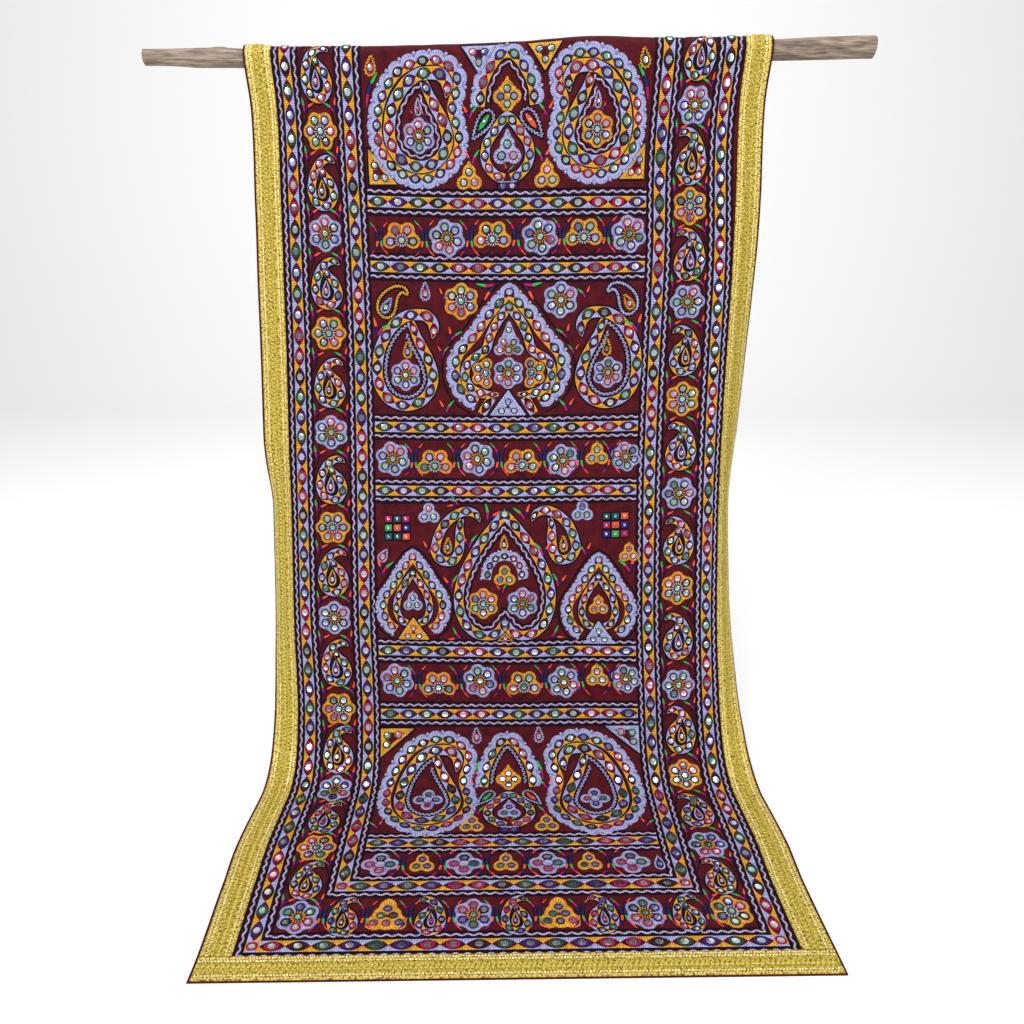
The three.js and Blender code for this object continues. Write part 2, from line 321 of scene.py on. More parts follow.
def solid_strip(work, thread, rings, closed, along, across_marks, dye):
    """Joins equal rings of corners, one for each station of a path, into one closed strip."""
    count, width = len(rings), len(rings[0])
    points = np.concatenate(rings)
    spans = count if closed else count - 1
    k = np.arange(spans)[:, None] * width
    nxt = (np.arange(spans)[:, None] + 1) % count * width
    i = np.arange(width)[None, :]
    j = (i + 1) % width
    quads = np.stack([k + i, k + j, nxt + j, nxt + i], axis=-1).reshape(-1, 4)
    triangles = np.concatenate([quads[:, [0, 1, 2]], quads[:, [0, 2, 3]]])
    if not closed:
        fan = np.array([[0, m + 1, m] for m in range(1, width - 1)])
        triangles = np.concatenate([triangles, fan, fan[:, ::-1] + (count - 1) * width])
    marks = np.column_stack([np.repeat(along, width), np.tile(across_marks, count)])
    work.add(thread, points, triangles, marks, dye)


def cord(work, thread, path, width, height=0.9, closed=False, dye="dark", lift=0.0):
    """A couched or chain-stitched line: a low three-sided ridge."""
    path = np.asarray(path, float)
    normal = unit_normals(path, closed) * width / 2
    low, high = np.full(len(path), lift), np.full(len(path), lift + height)
    rings = np.stack([np.column_stack([path + normal, low]), np.column_stack([path, high]),
                      np.column_stack([path - normal, low])], axis=1)
    solid_strip(work, thread, rings, closed, marks_along(path), [0, width / 2, width], dye)


RIBBON_SHOULDER = 0.18


def ribbon(work, thread, left, right, height=0.5, closed=False, dye="dark", lift=0.0):
    """Satin stitch between two paths. The first lies to the left of travel."""
    left, right = np.asarray(left, float), np.asarray(right, float)
    inset = RIBBON_SHOULDER * (right - left)
    along = marks_along((left + right) / 2)
    low, high = np.full(len(left), lift), np.full(len(left), lift + height)
    rings = np.stack([np.column_stack([left, low]), np.column_stack([left + inset, high]),
                      np.column_stack([right - inset, high]), np.column_stack([right, low])], axis=1)
    width = float(np.linalg.norm(left - right, axis=1).mean())
    solid_strip(work, thread, rings, closed, along, [0, 0.2 * width, 0.8 * width, width], dye)


def smooth(points, closed=False, steps=8):
    """A soft curve through a few points."""
    points = np.asarray(points, float)
    if closed:
        knots = np.vstack([points[-1:], points, points[:2]])
    else:
        knots = np.vstack([2 * points[0] - points[1], points, 2 * points[-1] - points[-2]])
    t = np.linspace(0, 1, steps, endpoint=False)[:, None]
    runs = []
    for a, b, c, d in zip(knots, knots[1:], knots[2:], knots[3:]):
        runs.append(0.5 * (2 * b + (c - a) * t + (2 * a - 5 * b + 4 * c - d) * t ** 2
                           + (3 * b - a - 3 * c + d) * t ** 3))
    path = np.concatenate(runs)
    return path if closed else np.vstack([path, points[-1:]])


# %% [markdown]
# The small things that repeat by the hundred are modelled once, by hand as it were, from Blender's
# own primitives: a circle is added at its real size, drawn up, and its top inset and set in or out.
# A disc of mirror glass is flat with a worn edge. Its ring of buttonhole stitch is a torus pressed
# low.

# %% Model the stamps
def deselect():
    bpy.ops.object.select_all(action="DESELECT")


def edit():
    """Opens the active piece for editing, with all of it selected."""
    bpy.ops.object.mode_set(mode="EDIT")
    bpy.ops.mesh.select_all(action="SELECT")


def leave():
    bpy.ops.object.mode_set(mode="OBJECT")
    return bpy.context.object


def model_disc(sides, radius, height, rim, sink):
    """A low disc with an inset top, sunk or raised."""
    deselect()
    bpy.ops.mesh.primitive_circle_add(vertices=sides, radius=radius * MM, fill_type="NGON")
    edit()
    bpy.ops.mesh.extrude_region_move(TRANSFORM_OT_translate={"value": (0, 0, height * MM)})
    bpy.ops.mesh.inset(thickness=rim * MM, depth=-sink * MM)
    bpy.ops.mesh.select_all(action="SELECT")
    bpy.ops.mesh.normals_make_consistent(inside=False)
    return leave()


def model_ring(radius, thread, sides):
    """A torus of three-sided section, pressed a little flat and lifted by half its thread."""
    deselect()
    bpy.ops.mesh.primitive_torus_add(major_segments=sides, minor_segments=3, major_radius=radius * MM,
                                     minor_radius=thread * MM)
    edit()
    bpy.ops.transform.resize(value=(1, 1, 0.75))
    bpy.ops.transform.translate(value=(0, 0, 0.5 * thread * MM))
    return leave()


def model_cone(sides, radius, height):
    """A cone that stands on the cloth."""
    deselect()
    bpy.ops.mesh.primitive_cone_add(vertices=sides, radius1=radius * MM, depth=height * MM,
                                    location=(0, 0, height / 2 * MM))
    bpy.ops.object.transform_apply(location=True, rotation=False, scale=False)
    return bpy.context.object


def as_stamp(shape):
    """Takes a modelled shape off the table as corners and triangles in millimetres."""
    mesh = shape.data
    mesh.calc_loop_triangles()
    points = np.empty(len(mesh.vertices) * 3)
    triangles = np.empty(len(mesh.loop_triangles) * 3, int)
    mesh.vertices.foreach_get("co", points)
    mesh.loop_triangles.foreach_get("vertices", triangles)
    bpy.data.objects.remove(shape)
    return points.reshape(-1, 3) / MM, triangles.reshape(-1, 3)


RING_RADIUS, RING_THREAD = 6.75, 1.65
RING_REACH = RING_RADIUS + RING_THREAD
GLASS = as_stamp(model_disc(sides=8, radius=5.5, height=0.7, rim=1.6, sink=-0.25))
RING = as_stamp(model_ring(RING_RADIUS, RING_THREAD, sides=12))
KNOB = as_stamp(model_disc(sides=6, radius=1.0, height=0.7, rim=0.3, sink=-0.2))
PAD = as_stamp(model_disc(sides=10, radius=1.0, height=0.5, rim=0.15, sink=0.0))
SPANGLE = as_stamp(model_cone(sides=5, radius=1.9, height=0.9))
print("stamps:", [len(stamp[1]) for stamp in (GLASS, RING, KNOB, PAD, SPANGLE)], "triangles")


# %% Set one stamp down
def press(work, thread, stamp, at, size=(1.0, 1.0), turn=0.0, dye="dark", lift=0.0, tip=(0.0, 0.0)):
    """Copies a stamp to a place, its foot pressed flat. A tip leans it, in height per millimetre."""
    points, triangles = stamp
    a = math.radians(turn)
    x, y = points[:, 0] * size[0], points[:, 1] * size[1]
    flat = np.column_stack([x * math.cos(a) - y * math.sin(a), x * math.sin(a) + y * math.cos(a)])
    height = points[:, 2] * (points[:, 2] > 0) + lift + flat @ np.array(tip)
    work.add(thread, np.column_stack([flat + at, height]), triangles, flat, dye)


# Painted reflection: each mirror disc gets one of these tones at random, for how bright its reflection
# looks.
GLASS_REFLECTION_TONES = ["clear glass", "green glass", "grey glass", "dim glass"]
GLASS_REFLECTION_SHARES = [7, 8, 6, 3]
GLASS_LEAN = 0.05
GLASS_LIFT, RING_LIFT = 0.35, 0.1
mirror_count = 0


def mirror(work, at, turn=0.0, size=1.0, longer=1.0, dye=None):
    """A mirror disc held by a buttonholed ring. The dyes take turns."""
    global mirror_count
    dye = dye or RING_DYES[mirror_count * 5 % len(RING_DYES)]
    mirror_count += 1
    lean = (chance.uniform(-GLASS_LEAN, GLASS_LEAN), chance.uniform(-GLASS_LEAN, GLASS_LEAN))
    # The disc's tone is its painted reflection.
    tone = chance.choices(GLASS_REFLECTION_TONES, GLASS_REFLECTION_SHARES)[0]
    press(work, "glass", GLASS, at, (size * (0.4 + 0.6 * longer), size), turn, tone, GLASS_LIFT, lean)
    press(work, "ring", RING, at, (size * longer, size), turn, dye, RING_LIFT)


# %% [markdown]
# The mirror band is the ground of the whole design: a strip cut by crossings into eye-shaped cells,
# a mirror in each eye, and satin triangles in lilac and orange between the eyes. The same band runs
# straight along the borders and bends round every paisley, spade and heart, so it is one function
# that walks a Route.

# %% Mirror bands, scallops and wavy lines
EYE_HEIGHT, CORNER_HEIGHT = 0.92, 0.03
EYE_STATIONS = np.array([-0.5, -0.36, -0.22, -0.09, 0, 0.09, 0.22, 0.36, 0.5])
FULL_HALF = 9.6
SMALLEST_MIRROR = 0.3


def eye(share):
    """Half height of an eye, from its middle (0) to its corner (1)."""
    return EYE_HEIGHT * (1 - share ** 2)


def mirror_band(work, route, width, cells, left=("lilac", "orange"), right=("orange", "lilac"),
                size=1.0, swap=0, phase=0.0, longer=1.2):
    """Eye-shaped cells along a route. width is a number, or a function of the share of the way along.

    left and right are the threads of the triangles on either side, by turns."""
    pitch = route.length / cells

    def half(s):
        s = np.mod(s, route.length) if route.closed else np.clip(s, 0, route.length)
        return np.full_like(s, width / 2) if np.isscalar(width) else width(s / route.length) / 2

    for k in range(cells):
        s = np.array([(k + 0.5 + phase) * pitch])
        ahead = route.place(s + 1) - route.place(s - 1)
        turn = math.degrees(math.atan2(ahead[0, 1], ahead[0, 0]))
        scale = size * min(1.0, half(s)[0] / FULL_HALF)
        if scale > SMALLEST_MIRROR:
            mirror(work, route.place(s)[0], turn, scale, min(longer, 0.46 * pitch / (RING_REACH * scale)))
    for k in range(cells if route.closed else cells + 1):
        t = EYE_STATIONS
        if not route.closed:
            t = t[4:] if k == 0 else t[:5] if k == cells else t
        s = (k + phase + t) * pitch
        edge = half(s)
        curve = edge * np.maximum(eye(1 - 2 * np.abs(t)), CORNER_HEIGHT)
        turned = (k + swap) % 2
        ribbon(work, left[turned], route.place(s, edge), route.place(s, curve))
        ribbon(work, right[turned], route.place(s, -curve), route.place(s, -edge))


def scallops(work, route, side, cells, thread="lilac", rise=7.2, base=1.4, phase=0.0):
    """A scalloped border outside a band, one bow for each cell, with a knob between."""
    pitch = route.length / cells
    outward = math.copysign(1, side)
    for k in range(cells):
        t = np.linspace(0, 1, 9)
        bow = base + rise * np.sin(np.pi * np.clip(t, 0.01, 0.99)) ** 0.75
        s = (k + t + phase) * pitch
        near, far = route.place(s, side - outward * 0.8), route.place(s, side + outward * bow)
        first, second = (far, near) if outward > 0 else (near, far)
        ribbon(work, thread, first, second, height=0.6)
        cord(work, thread, route.place(s, side + outward * (bow - 0.7)), 1.9, height=1.1)
        cord(work, "bright", route.place(s, side + outward * bow * 0.42), 1.3, height=0.9, dye="shade")
        knot = route.place(np.array([(k + phase) * pitch]), side + outward * (base + rise * 0.62))[0]
        press(work, thread, KNOB, knot, (3.1, 3.1), lift=0.25)


def wavy(work, thread, route, side=0.0, swing=1.7, wave=17.0, width=2.9, samples=8, height=1.0):
    """A line that wanders evenly to and fro."""
    waves = max(2, round(route.length / wave))
    s = np.linspace(0, route.length, waves * samples, endpoint=not route.closed)
    path = route.place(s, side + swing * np.sin(2 * np.pi * waves * s / route.length))
    cord(work, thread, path, width, height=height, closed=route.closed)


def toothed(work, thread, route, side=0.0, tooth=6.2, width=2.6, swing=2.2):
    """A line of small teeth, as a zigzag."""
    wavy(work, thread, route, side, swing, tooth, width, 4)


DARK_WEIGHT = 1.4


def outline(work, route, side=0.0, width=2.4, step=4.0, thread="outline", height=0.8):
    """A plain line along a route. Dark ones are of a heavier cord."""
    s = np.linspace(0, route.length, max(4, int(route.length / step)), endpoint=not route.closed)
    weight = DARK_WEIGHT if thread == "outline" else 1.0
    cord(work, thread, route.place(s, side), width * weight, height=height, closed=route.closed)


def edged(work, route, away, width=2.4, step=4.0):
    """The same dark line along both edges of a band."""
    for side in (away, -away):
        outline(work, route, side, width, step)


def part_of(route, start, end, side=0.0):
    """A piece of a route, between two shares of its length, set off to one side."""
    s = np.linspace(start, end, max(8, int(route.length * (end - start) / 4))) * route.length
    return Route(route.place(s, side))


# %% [markdown]
# A flower is a scalloped rim of stitches round six mirrors, with a seventh mirror in the middle and
# short spokes about it. The rim is found from circles: how far out their union reaches is its outer
# edge, and the same with smaller circles is its inner edge. Crowns, trefoils and quatrefoils are the
# same with other directions, and a pointed tip where they have one.

# %% Flowers, crowns and trefoils
def far_reach(angles, directions, distance, radius, floor):
    """How far out a ring of circles reaches, by direction."""
    reach = np.full(len(angles), float(floor))
    for direction in directions:
        gap = angles - math.radians(direction)
        miss = distance * np.sin(gap)
        hit = (np.abs(miss) < radius) & (np.cos(gap) > 0)
        far = distance * np.cos(gap) + np.sqrt(np.maximum(radius ** 2 - miss ** 2, 0))
        reach = np.where(hit, np.maximum(reach, far), reach)
    return reach


PETAL_SHIFT = 1.4
KNOB_SHIFT, KNOB_RADIUS = 1.8, 2.7
SPOKES = 14


def blossom(thread, directions, reach, petal, span=(0, 360), knobs=(), tip=0.0, size=0.97,
            solid=False, middle=True):
    """A scalloped rim round mirrors set out in some directions, each petal a circle about its mirror."""
    work = Work()
    whole = span[1] - span[0] >= 360
    middles = reach + PETAL_SHIFT
    angles = np.radians(np.arange(span[0], span[1] + (0 if whole else 4), 4))
    rim = far_reach(angles, directions, middles, petal, reach * 0.6)
    for knob in knobs:
        notch = far_reach(np.radians([knob]), directions, middles, petal, reach * 0.6)[0]
        rim = np.maximum(rim, far_reach(angles, [knob], notch + KNOB_SHIFT, KNOB_RADIUS, 0))
    if tip:
        aside = angles - math.pi / 2
        point = (reach + petal + tip) / np.maximum(np.cos(aside) + 2.4 * np.abs(np.sin(aside)), 0.05)
        rim = np.where(np.cos(aside) > 0, np.maximum(rim, np.minimum(point, reach + petal + tip)), rim)
    hollow = far_reach(angles, directions, reach, (RING_REACH - 0.3) * size, 0.62 * reach)
    hollow = np.minimum(hollow, rim - 2.2) * (0.0 if solid else 1.0) + (2.5 if solid else 0.0)
    way = np.column_stack([np.cos(angles), np.sin(angles)])
    ribbon(work, thread, way * hollow[:, None], way * rim[:, None], height=0.6, closed=whole)
    cord(work, thread, way * (rim[:, None] - 1.0), 1.7, height=1.1, closed=whole)
    if not solid:
        inner = (0.45 * rim + 0.55 * hollow)[::2, None]
        cord(work, "bright", way[::2] * inner, 1.2, height=0.9, closed=whole,
             dye="shade" if thread == "lilac" else "amber")
    if not middle:
        press(work, thread, PAD, (0, 0), (4.5, 4.5) if solid else (0.5 * reach, 0.5 * reach))
    for direction in directions:
        a = math.radians(direction)
        mirror(work, (reach * math.cos(a), reach * math.sin(a)), direction, size, 1.06)
    if middle:
        mirror(work, (0, 0), 0, 0.9, dye="deep_green")
        spoke = "orange" if thread == "lilac" else "pale"
        for k in range(SPOKES):
            a = 2 * math.pi * k / SPOKES
            ray = np.array([math.cos(a), math.sin(a)])
            cord(work, "bright", [ray * 7.9, ray * 11.4], 1.9, height=1.3, dye=spoke, lift=0.2)
    return work


SIX = [30, 90, 150, 210, 270, 330]


def flower(thread):
    """Six petals, with a knob in each notch."""
    return blossom(thread, SIX, 19.8, 12.2, knobs=[angle + 30 for angle in SIX])


def crown():
    """An orange flower with its lower petals left out: four mirrors over a fifth."""
    return blossom("orange", [-6, 58, 122, 186], 20.2, 12.2, (-44, 224), [27, 90, 153])


def rooted_crown():
    """A crown on two thin dark roots that run out below it."""
    work = crown()
    for side in (-1, 1):
        cord(work, "outline", smooth([(side, -13), (side * 5, -22), (side * 15, -26), (side * 25, -23)]),
             1.9, height=0.5)
    return work


def trefoil(thread, tip=7.0):
    """Three mirrors in a solid leaf of three lobes, with a small tip."""
    return blossom(thread, [90, 210, 330], 10.8, 11.2, knobs=[30, 150, 270], tip=tip, size=0.84,
                   solid=True, middle=False)


def quatrefoil(thread):
    """Four petals and four mirrors, wider than high."""
    work, wide = Work(), Work()
    work.sew(blossom(thread, [0, 90, 180, 270], 15.0, 12.6, knobs=[45, 135, 225, 315], middle=False), 0, 0)
    for thread, sheets in work.piles.items():
        wide.piles[thread] = [(points * (1.12, 0.9, 1), *rest) for points, *rest in sheets]
    return wide


def bell(thread):
    """The tall pointed head of flowers in the great spade: four mirrors over a fifth."""
    work = blossom(thread, [0, 57, 123, 180], 17.5, 10.8, tip=32, size=0.8)
    mirror(work, (0, 39), 90, 0.78)
    return work


# %% [markdown]
# Between the motifs the ground is filled with small bright bars, sewn in lengths of two colours,
# and with thin dark bows that shut one motif off from the next.

# %% Bars, sprigs and drops
def leaf_bar(work, points, dyes, width=5.0):
    """A curved tapered bar in lengths of colour, on a dark bed."""
    route = Route(smooth(points, steps=6))

    def half(s, most):
        share = np.clip(s / route.length, 0, 1)
        return most / 2 * np.sin(np.pi * (0.06 + 0.88 * share)) ** 0.7

    whole = np.linspace(0, route.length, 9)
    ribbon(work, "outline", route.place(whole, half(whole, width + 2.8)),
           route.place(whole, -half(whole, width + 2.8)), height=0.3)
    for k, dye in enumerate(dyes):
        s = np.linspace(k, k + 1, 4) * route.length / len(dyes)
        ribbon(work, "bright", route.place(s, half(s, width)), route.place(s, -half(s, width)),
               height=0.8, dye=dye)


def sprig(one=("indigo", "red"), two=("magenta", "green")):
    """Two bars that spring from one root, which lies at the origin, and open upwards."""
    work = Work()
    leaf_bar(work, [(0, 0), (-3, 12), (-8, 27)], one, 5.6)
    leaf_bar(work, [(0, 0), (7, 11), (20, 21)], two, 5.6)
    return work


def leaf_heart(thread, reach=11.5, tip=10):
    """Four mirrors in a small leaf with its tip up."""
    return blossom(thread, [0, 90, 180, 270], reach, 11.2, knobs=[45, 135, 225, 315], tip=tip, size=0.8,
                   middle=False)


def crossing(height=58.0):
    """Two bows set back to back, which fill the gap between the motifs of a row."""
    work = Work()
    for side, dyes in ((-1, ("green", "magenta", "indigo", "dark", "red", "indigo", "magenta")),
                       (1, ("red", "indigo", "dark", "indigo", "green", "magenta", "red"))):
        bow = [(side * 17, height * 0.53), (side * 6.2, height * 0.3), (side * 3.1, 0),
               (side * 6.2, -height * 0.3), (side * 17, -height * 0.53)]
        leaf_bar(work, bow, dyes, 5.0)
    return work


def drop_path(width, height, lean=0.0, count=36):
    """A drop with its tip up, its middle at the origin."""
    t = np.linspace(0, 2 * np.pi, count, endpoint=False)
    y = height / 2 * np.cos(t)
    x = -width * 0.62 * np.sin(t) * np.sin(t / 2) ** 1.4
    return np.column_stack([x + lean * ((y + height / 2) / height) ** 2, y])


def small_drop(thread, width=15.0, height=28.0, dye=None, teeth=False):
    """A drop in one plain or toothed line, with a mirror in it."""
    work = Work()
    route = Route(drop_path(width, height), closed=True)
    if teeth:
        toothed(work, thread, route, 0, 5.0, 2.6, 1.6)
    else:
        outline(work, route, 0, 3.0, 2.5, thread, 1.0)
    outline(work, route, 2.9, 1.6, 3)
    mirror(work, (0, -height * 0.13), 90, width / 24, 1.45, dye=dye)
    return work


# %% [markdown]
# A paisley is a mirror band that curls: it starts at the point of the hook, goes over the head, down
# and round the body, and ends where the neck meets the head again. Its middle line is drawn through
# a few points, in millimetres for the small ones and in shares of the half size for the large ones.

# %% Paisleys
SMALL_HOOK = [(25, 45), (19, 50), (9, 52), (-1, 47), (-13, 32), (-20, 9), (-19, -8), (-12, -20),
              (0, -26), (13, -22), (20, -10), (20, 3), (14, 15), (6, 24), (0, 33), (-3, 41)]
LEANING_HOOK = [(63, 49), (57, 62), (45, 69), (29, 69), (10, 59), (-8, 41), (-19, 17), (-23, -7),
                (-12, -23), (7, -26), (20, -13), (24, 12), (24, 38), (28, 56)]
LARGE_HOOK = [(0.94, 0.46), (1.0, 0.64), (0.96, 0.82), (0.74, 0.97), (0.4, 1.0), (0.04, 0.96),
              (-0.32, 0.82), (-0.63, 0.58), (-0.87, 0.28), (-0.98, -0.06), (-0.98, -0.4),
              (-0.76, -0.75), (-0.34, -0.96), (0.2, -1.0), (0.7, -0.82), (0.96, -0.48),
              (0.88, -0.12), (0.66, 0.19), (0.44, 0.46), (0.3, 0.68), (0.18, 0.86)]
BAND_GROWTH = {
    "along": [0, 0.02, 0.04, 0.08, 0.2, 0.5, 0.88, 1.0],
    "width": [0.12, 0.55, 0.9, 1.02, 1.0, 1.0, 0.95, 0.72],
}
THIN_GROWTH = {
    "along": [0, 0.03, 0.06, 0.13, 0.2, 0.85, 0.93, 1.0],
    "width": [0.12, 0.5, 0.78, 0.96, 1.0, 1.0, 0.8, 0.5],
}


def curled_band(work, route, width, cells, growth, swap=0):
    """A band on a hook, with one dark line round the whole of it."""
    def grow(share):
        return width * read(growth, "width", share)

    mirror_band(work, route, grow, cells, swap=swap, longer=1.12)
    s = np.linspace(0, route.length, int(route.length / 4))
    half = grow(s / route.length) / 2 + 1.1
    edge = np.vstack([route.place(s, -half), route.place(s[::-1], half[::-1])])
    cord(work, "outline", edge, 3.6, height=0.85, closed=True)


def small_paisley(inner="orange", swap=0, hook=SMALL_HOOK, teeth=False):
    """About 60 mm wide and 95 mm high, its hook to the upper right, its middle at the origin."""
    work, core = Work(), Work()
    band, cells = (18.0, 11) if teeth else (15.5, 9)
    curled_band(work, Route(smooth(hook, steps=6)), band, cells, THIN_GROWTH, swap)
    if not teeth:
        outline(core, Route(drop_path(20, 42), True), 0, 3.4, 3.0)
    core.sew(small_drop(inner, 14.0, 30, "violet" if inner == "orange" else "magenta", teeth), 0, -1)
    work.sew(core, 1 if teeth else -1, 6 if teeth else 4.5, turn=-3)
    centred = Work()
    centred.sew(work, -1, -13)
    return centred


def large_paisley(heart, wide=51.0, tall=72.0, line="wavy", drop=True, size=0.87):
    """The curled paisley of the panels, its hook to the upper right, its middle at the origin."""
    work = Work()
    route = Route(smooth([(x * wide, y * tall) for x, y in LARGE_HOOK], steps=6))
    curled_band(work, route, 20.0, 16, BAND_GROWTH)
    if line == "wavy":
        wavy(work, "wave", part_of(route, 0.18, 0.96, 15.6), width=2.7)
        outline(work, part_of(route, 0.2, 0.94, 19.4), 0, 1.8)
    else:
        toothed(work, "lilac", part_of(route, 0.18, 0.96, 16.0), 0, 8.0, 2.6, 2.6)
        outline(work, part_of(route, 0.2, 0.94, 20.0), 0, 2.2)
    work.sew(heart, 0, -0.33 * tall, size=size)
    if drop and line == "wavy":
        work.sew(small_drop("lilac", 11, 26, dye="magenta"), 0, 0.3 * tall)
        work.sew(sprig(), -9, 4, size=0.5)
        work.sew(sprig(("violet", "red"), ("violet", "red")), 10, 4, size=0.45)
    elif drop:
        work.sew(small_drop("orange", 15, 30, teeth=True), 4, 0.24 * tall)
    return work


RING_PATH = [(0, 88), (30, 91), (55, 82), (70, 64), (68, 42), (61, 20), (67, -6), (72, -32), (65, -57),
             (45, -78), (18, -91), (-12, -91), (-42, -77), (-63, -53), (-72, -24), (-71, 4), (-64, 30),
             (-51, 54), (-30, 76)]


def ring_of_scallops(wide=1.0, tall=1.0):
    """The closed, scalloped band round a big paisley."""
    work = Work()
    ring = Route(smooth([(x * wide, y * tall) for x, y in RING_PATH], closed=True, steps=6), closed=True)
    mirror_band(work, ring, 17.0, 23, ("lilac", "lilac"), ("orange", "orange"), size=0.95)
    scallops(work, ring, 8.2, 23)
    return work


def open_paisley(thread, core):
    """A small paisley in one toothed line, its hook to the right, with a drop in it."""
    work = Work()
    loop = smooth([(30, 12), (26, 24), (12, 28), (-3, 23), (-17, 12), (-25, -3), (-24, -18), (-14, -28),
                   (-2, -27), (6, -17), (9, -4), (12, 8), (20, 17)], closed=True, steps=6)
    route = Route(loop, True)
    toothed(work, thread, route, 0, 5.4, 3.2, 1.6)
    edged(work, route, 3.8, 2.0)
    work.sew(small_drop(core, 15, 30, teeth=True), -8, -6, turn=-32)
    return work


# %% [markdown]
# Spades, hearts and the vase are the same band on a route that is drawn as one half, from the tip
# down the right side, and turned over for the other half.

# %% Spades, hearts and arches
SPADE_HALF = [(0.0, 1.1), (0.19, 0.88), (0.4, 0.64), (0.57, 0.37), (0.77, 0.13), (0.94, -0.08),
              (1.0, -0.33), (0.96, -0.58), (0.82, -0.82), (0.58, -0.98)]
HEART_HALF = [(0, 117), (23, 90), (43, 64), (62, 34), (77, 4), (87, -28), (88, -60), (78, -92),
              (58, -113), (32, -119), (12, -110), (0, -93)]


def both_halves(half, wide=1.0, tall=1.0, closed=False):
    """A symmetrical route that runs from the lower left, over the tip, to the lower right."""
    right = smooth([(x * wide, y * tall) for x, y in half], steps=7)
    left = right[::-1] * (-1, 1)
    path = np.vstack([left[:-1], right])
    return Route(path[:-1] if closed else path, closed)


def inside(route, away):
    """A line inside a symmetrical closed route, cut where its two halves would cross."""
    s = np.linspace(0, route.length, int(route.length / 4), endpoint=False)
    base, path = route.place(s), route.place(s, away)
    notch = [(0.0, base[0, 1] + 1.35 * abs(away))]
    return Route(np.vstack([notch, path[base[:, 0] * path[:, 0] > 0.5]]), closed=True)


def straight_sides(corners, step=3.5):
    """A closed route with straight sides."""
    corners = np.array(corners, float)
    runs = []
    for start, end in zip(corners, np.roll(corners, -1, axis=0)):
        count = max(3, int(np.linalg.norm(end - start) / step))
        runs.append(start + (end - start) * np.linspace(0, 1, count, endpoint=False)[:, None])
    return Route(np.concatenate(runs), True)


def triangle(thread, corners, mirrors, size=0.72, border=4.6):
    """A bordered triangle, its corners given anticlockwise, with mirrors in it."""
    work = Work()
    rim = straight_sides(corners)
    middle = np.mean(corners, axis=0)
    s = np.linspace(0, rim.length, int(rim.length / 3.5), endpoint=False)
    outer = rim.place(s)
    inner = middle + (outer - middle) * (1 - border / 14)
    ribbon(work, thread, inner, outer, height=0.6, closed=True)
    outline(work, Route(middle + (outer - middle) * 1.1, True), 0, 2.2)
    for at in mirrors:
        press(work, thread, PAD, at, (9.4 * size, 9.4 * size), lift=-0.15)
        mirror(work, at, 90 if abs(at[0]) < 3 else 0, size, 1.15)
    return work


def foot(thread):
    """The triangle that a spade stands on, with three mirrors."""
    return triangle(thread, [(-33, -21), (33, -21), (0, 25)], [(0, 4), (-11, -12), (11, -12)], 0.68, 12)


LOBES_HALF = [(0, 80), (20, 55), (34, 28), (42, 3), (58, -9), (73, -19), (81, -38), (77, -59),
              (62, -73), (40, -80), (18, -80)]


def lobe_width(share):
    return 16.5 * np.interp(share, [0, 0.06, 0.94, 1], [0.35, 1, 1, 0.35])


def great_spade():
    """The middle of the upper panel, its reach 100 mm to each side."""
    work = Work()
    outer = both_halves(SPADE_HALF, 100, 96)
    mirror_band(work, outer, 17.5, 19, ("lilac", "lilac"), ("orange", "orange"))
    scallops(work, outer, 8.6, 19)
    outline(work, part_of(outer, 0, 1, 24))
    lobes = both_halves(LOBES_HALF)
    mirror_band(work, lobes, lobe_width, 21, size=0.9)
    for away in (-9.4, 9.4):
        outline(work, part_of(lobes, 0.02, 0.98, away))
    stub = Route(np.array([(31.0, -86.0), (40.0, -101.0), (49.0, -116.0)]))
    for flip in (False, True):
        half = Work()
        mirror_band(half, stub, 17, 1, ("orange", "orange"), ("lilac", "lilac"), size=0.9)
        outline(half, stub, 9.6, 2.3, 5)
        half.sew(crown(), 42, -41, size=0.84, turn=-90)
        work.sew(half, 0, 0, flip=flip)
    work.sew(bell("lilac"), 0, 2, size=0.92)
    work.sew(flower("lilac"), 0, -41, size=0.88)
    work.sew(foot("lilac"), 0, -98, size=1.05)
    return work


def side_spade(thread, base):
    """A spade with a trefoil in it, on a foot, its reach 58 mm to each side."""
    work = Work()
    outer = both_halves(SPADE_HALF, 58, 68)
    mirror_band(work, outer, 15.5, 15, ("lilac", "lilac"), ("orange", "orange"))
    scallops(work, outer, 7.6, 15, rise=6.4)
    outline(work, part_of(outer, 0, 1, 20))
    inner = both_halves([(0, 43), (16, 20), (28, -3), (32, -28), (25, -47), (12, -55)])
    mirror_band(work, inner, 13.5, 9)
    edged(work, inner, 7.9)
    work.sew(trefoil(thread), 0, -15, size=0.86)
    work.sew(foot(base), 0, -68, size=0.98)
    return work


def great_heart():
    """The middle of the lower panel: a heart upside down, over an arch and two flowers."""
    work = Work()
    rim = both_halves(HEART_HALF, closed=True)
    mirror_band(work, rim, 18.5, 22, phase=0.5)
    outline(work, rim, 10.3, 2.6)
    for away, width in ((-10.6, 3.0), (-21.0, 2.6)):
        outline(work, inside(rim, away), 0, width)
    wavy(work, "wave", inside(rim, -16.2), width=2.8)
    arch = both_halves([(0, 36), (18, 30), (30, 13), (34, -9)])
    mirror_band(work, arch, 15, 7, ("lilac", "lilac"), ("lilac", "lilac"), size=0.75)
    scallops(work, arch, 7, 7, rise=4.4, base=1.0)
    work.sew(trefoil("orange", 0), 0, -4, size=0.95)
    work.sew(small_drop("orange", 14, 28), -1, 62)
    work.sew(flower("orange"), -41, -56, size=0.9)
    work.sew(flower("lilac"), 34, -56, size=0.92)
    work.sew(sprig(), -4, -36, size=0.7, turn=20)
    work.sew(triangle("orange", [(-18, -8), (18, -8), (0, 10)], [(0, -2)], 0.6), 0, -122, size=0.9)
    return work


